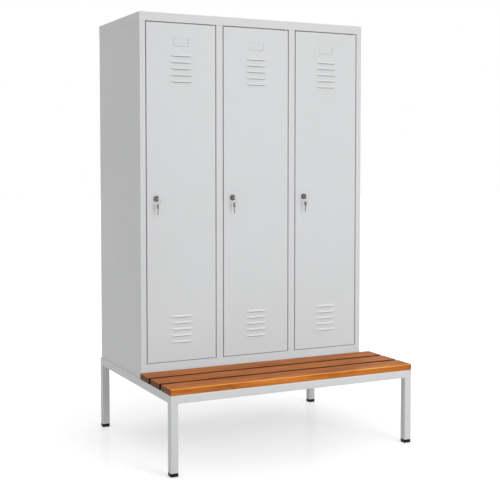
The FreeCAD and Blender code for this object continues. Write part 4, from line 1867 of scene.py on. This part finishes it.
    def blade(self, face: float) -> Piece:
        """Makes the blade with its teeth.

        Args:
            face: Place of the plug's face.

        Returns:
            The blade.
        """
        thick = self.key_thickness
        length = self.blade_length + self.blade_lap
        place = (0, face - self.blade_lap + length / 2, 0)
        piece = add_block("blade", Box.about(place, (self.blade_thickness, length, self.blade_height)))
        for number, depth in enumerate(self.teeth):
            along = face + self.tooth_place + self.tooth_pitch * number
            start = Vector((-thick, along, -self.blade_height / 2))
            tooth = add_round("tooth", start, 2 * thick, depth, Axis.X, corners=4)
            combine(piece, tooth, Cut.REMOVE)
        return piece

    def ring(self, space: Box) -> Piece:
        """Makes the split ring of two turns of wire.

        Args:
            space: Space of the CAD ring.

        Returns:
            The ring.
        """
        turns = []
        radius = space.size.x / 2 - self.wire
        for shift in (-self.wire, self.wire):
            begin()
            middle = space.centre + Axis.Y.vector * shift
            place = middle + Axis.X.vector * radius
            bpy.ops.mesh.primitive_circle_add(vertices=self.wire_corners, radius=self.wire, location=place)
            turns.append(settle("key_ring_1_wire"))
            bpy.ops.object.mode_set(mode="EDIT")
            bpy.ops.mesh.select_all(action="SELECT")
            bpy.ops.mesh.spin(steps=self.ring_steps, angle=math.tau, center=middle, axis=Axis.Y.vector)
            bpy.ops.mesh.select_all(action="SELECT")
            bpy.ops.mesh.remove_doubles(threshold=TOUCH)
            bpy.ops.mesh.normals_make_consistent(inside=False)
            begin()
        return join(turns)


@dataclass
class Fixings(SubAssembly):
    """Rivets that hold the back panel, and bolts that hold the cabinet on the bench frame.

    Attributes:
        rivet_bed: Distance from the rear of the CAD panel to the sheet that the rivets sit on.
        rivet_radius: Radius of a rivet's head.
        rivet_height: Height of that head.
        rivet_bevel: Rounding of that head.
        rivet_rim: Width of the flat round the rivet's bore.
        rivet_bore: Depth of the bore.
        rivet_rows: Number of rivets in a column.
        rivet_margin: Distance from the panel's upper and lower edge to the nearest rivet.
        rivet_inset: Distance from the panel's upright edges to the outer columns.
        bolt_radius: Radius of a bolt's head to its corners.
        bolt_height: Height of that head.
        bolt_edge: Rounding of that head's edges.
        bolt_reach: Distance of a bolt from the middle of its rail.
        washer_radius: Radius of the washer.
        washer_height: Thickness of the washer.
        washer_edge: Rounding of the washer's edges.
    """

    rivet_bed: float = 1 * MM
    rivet_radius: float = 3.2 * MM
    rivet_height: float = 0.9 * MM
    rivet_bevel: float = 0.63 * MM
    rivet_rim: float = 1 * MM
    rivet_bore: float = 0.45 * MM
    rivet_rows: int = 7
    rivet_margin: float = 45 * MM
    rivet_inset: float = 12 * MM
    bolt_radius: float = 7.5 * MM
    bolt_height: float = 4.5 * MM
    bolt_edge: float = 0.6 * MM
    bolt_reach: float = 400 * MM
    washer_radius: float = 8.5 * MM
    washer_height: float = 1.2 * MM
    washer_edge: float = 0.3 * MM

    def build(self) -> None:
        """Makes the rivets and the bolts."""
        self.rivets()
        self.bolts()

    def rivets(self) -> None:
        """Makes one rivet and copies it along the walls and partitions behind the back panel."""
        panel = Box.of_node("back_panel")
        face = panel.high.y - self.rivet_bed
        tip = face + self.rivet_height
        middles = [Box.of_node(node).centre.x for node in DIVIDERS]
        columns = [panel.low.x + self.rivet_inset, *middles, panel.high.x - self.rivet_inset]
        pitch = (panel.size.z - 2 * self.rivet_margin) / (self.rivet_rows - 1)
        rows = [panel.low.z + self.rivet_margin + pitch * number for number in range(self.rivet_rows)]
        places = [Vector((column, face, row)) for column in columns for row in rows]
        start = places[0]
        head = add_round("back_rivets", start, self.rivet_height, self.rivet_radius, Axis.Y, corners=20)
        bevel(head, edges(Y=tip), self.rivet_bevel, steps=3)
        step_in(head, faces(Axis.Y, Way.UP, tip), self.rivet_rim, (0, -self.rivet_bore, 0))
        self.fit(join(repeat(head, [place - start for place in places[1:]])), FRAME, Slot.ZINC)

    def bolts(self) -> None:
        """Makes one bolt with its washer and copies it under the rails that the cabinet stands on."""
        places = []
        for rail in map(Box.of_node, CABINET_RAILS):
            for reach in (-self.bolt_reach, self.bolt_reach):
                places.append(Vector((rail.centre.x + reach, rail.centre.y, rail.low.z)))
        start = places[0] - Axis.Z.vector * self.washer_height
        washer = add_round(
            "cabinet_bolt_1", start, self.washer_height, self.washer_radius, Axis.Z, corners=32)
        soften(washer, self.washer_edge)
        tip = start - Axis.Z.vector * self.bolt_height
        head = add_round("head", tip, self.bolt_height, self.bolt_radius, Axis.Z, corners=6)
        soften(head, self.bolt_edge)
        bolt = join([washer, head])
        for number, place in enumerate(places[1:], start=2):
            self.fit(copy_of(bolt, f"cabinet_bolt_{number}", place - places[0]), FRAME, Slot.ZINC)
        self.fit(bolt, FRAME, Slot.ZINC)


# Studio


@dataclass(frozen=True)
class Studio:
    """Floor, lights and camera.

    Attributes:
        eye: Place of the camera.
        pitch: How far it looks down, in degrees.
        yaw: How far it looks to the right of +Y, in degrees.
        lens: Focal length, in millimetres.
        sensor: Width of the sensor, in millimetres.
        shift: Vertical shift of the lens.
        sky: Strength of the light from the horizon and from straight above.
        lamp_place: Place of the main light.
        lamp_target: Where it points.
        lamp_size: Side of its square.
        lamp_power: Its power, in watts.
        floor_size: Side of the floor.
        floor_drop: How far the floor lies below the feet.
        floor_colour: Colour of the floor.
        floor_roughness: Roughness of the floor.
        floor_shine: Strength of its reflection.
        glow: What lifts the floor to white, near the object and far from it.
        glow_reach: Distances between which the far glow comes in.
    """

    eye: Triple = (-2.1289, -4.2794, 1.3003)
    pitch: float = 2.977
    yaw: float = 26.383
    lens: float = 72.567
    sensor: float = 36.0
    shift: float = -0.07
    sky: Pair = (0.31, 0.78)
    lamp_place: Triple = (1.6, -5.2, 2.3)
    lamp_target: Triple = (0.0, 0.0, 1.0)
    lamp_size: float = 2.6
    lamp_power: float = 97.0
    floor_size: float = 60.0
    floor_drop: float = 0.2 * MM
    floor_colour: Colour = (0.92, 0.92, 0.92)
    floor_roughness: float = 0.16
    floor_shine: float = 0.02
    glow: Pair = (0.345, 0.50)
    glow_reach: Pair = (0.4, 1.6)

    def build(self) -> None:
        """Sets up everything round the object."""
        self.camera()
        self.world()
        self.floor()
        self.lamp()
        bpy.context.scene.view_settings.view_transform = "Standard"

    def camera(self) -> None:
        """Makes the camera at the photograph's angle."""
        begin()
        turn = (math.radians(90 - self.pitch), 0.0, math.radians(-self.yaw))
        bpy.ops.object.camera_add(location=self.eye, rotation=turn)
        camera = bpy.context.view_layer.objects.active
        camera.data.lens = self.lens
        camera.data.sensor_width = self.sensor
        camera.data.shift_y = self.shift
        bpy.context.scene.camera = camera

    def world(self) -> None:
        """Lights the scene from all round, on a white background."""
        world = bpy.data.worlds.new("studio")
        world.use_nodes = True
        bpy.context.scene.world = world
        graph = Graph(world.node_tree)
        light = world.node_tree.nodes["Background"]
        light.inputs["Color"].default_value = opaque(WHITE)
        direction = graph.add("ShaderNodeTexCoord")
        parts = graph.add("ShaderNodeSeparateXYZ")
        graph.link(direction.outputs["Generated"], parts.inputs["Vector"])
        graph.link(graph.span(parts.outputs["Z"], RISE, self.sky), light.inputs["Strength"])
        white = graph.add("ShaderNodeBackground")
        white.inputs["Color"].default_value = opaque(WHITE)
        mix = graph.add("ShaderNodeMixShader")
        graph.link(graph.seen(), mix.inputs["Fac"])
        graph.link(light.outputs["Background"], mix.inputs[1])
        graph.link(white.outputs["Background"], mix.inputs[2])
        graph.link(mix.outputs["Shader"], world.node_tree.nodes["World Output"].inputs["Surface"])

    def floor(self) -> None:
        """Makes the white floor, which keeps the object's shadow."""
        begin()
        bpy.ops.mesh.primitive_plane_add(size=self.floor_size, location=(0, 0, -self.floor_drop))
        floor = settle("studio_floor")
        material, graph, shader = Finish("studio floor").start()
        shader.inputs["Base Color"].default_value = opaque(self.floor_colour)
        shader.inputs["Roughness"].default_value = self.floor_roughness
        shader.inputs["Specular IOR Level"].default_value = self.floor_shine
        distance = graph.add("ShaderNodeVectorMath", operation="LENGTH")
        graph.link(graph.place(EVEN), distance.inputs[0])
        level = graph.span(distance.outputs["Value"], self.glow_reach, self.glow)
        glow = graph.add("ShaderNodeEmission")
        graph.link(graph.reckon(Sum.PRODUCT, graph.seen(), level), glow.inputs["Strength"])
        total = graph.add("ShaderNodeAddShader")
        graph.link(shader.outputs["BSDF"], total.inputs[0])
        graph.link(glow.outputs["Emission"], total.inputs[1])
        graph.link(total.outputs["Shader"], material.node_tree.nodes["Material Output"].inputs["Surface"])
        floor.data.materials.append(material)

    def lamp(self) -> None:
        """Adds the soft square main light."""
        begin()
        aim = Vector(self.lamp_target) - Vector(self.lamp_place)
        turn = aim.to_track_quat("-Z", "Y").to_euler()
        bpy.ops.object.light_add(type="AREA", location=self.lamp_place, rotation=turn)
        lamp = bpy.context.view_layer.objects.active
        lamp.name = "main light"
        lamp.data.size = self.lamp_size
        lamp.data.energy = self.lamp_power


def dress_nodes(palette: Palette) -> None:
    """Gives every CAD node its finish.

    Args:
        palette: Materials.
    """
    for entry in frame["record"]["subparts"]:
        node = frame["nodes"][entry["node"]]
        node.data.materials.clear()
        node.data.materials.append(palette.paints[Slot(entry["material_slot"])])


def main() -> None:
    """Builds every sub-assembly in order."""
    logging.basicConfig(level=logging.INFO, format="%(name)s: %(message)s")
    palette = Palette()
    dress_nodes(palette)
    BenchFrame(palette).build()
    SeatSlats(palette).build()
    Cabinet(palette).build()
    Doors(palette).build()
    CamLocks(palette).build()
    Fixings(palette).build()
    Studio().build()


if __name__ == "__main__":
    main()
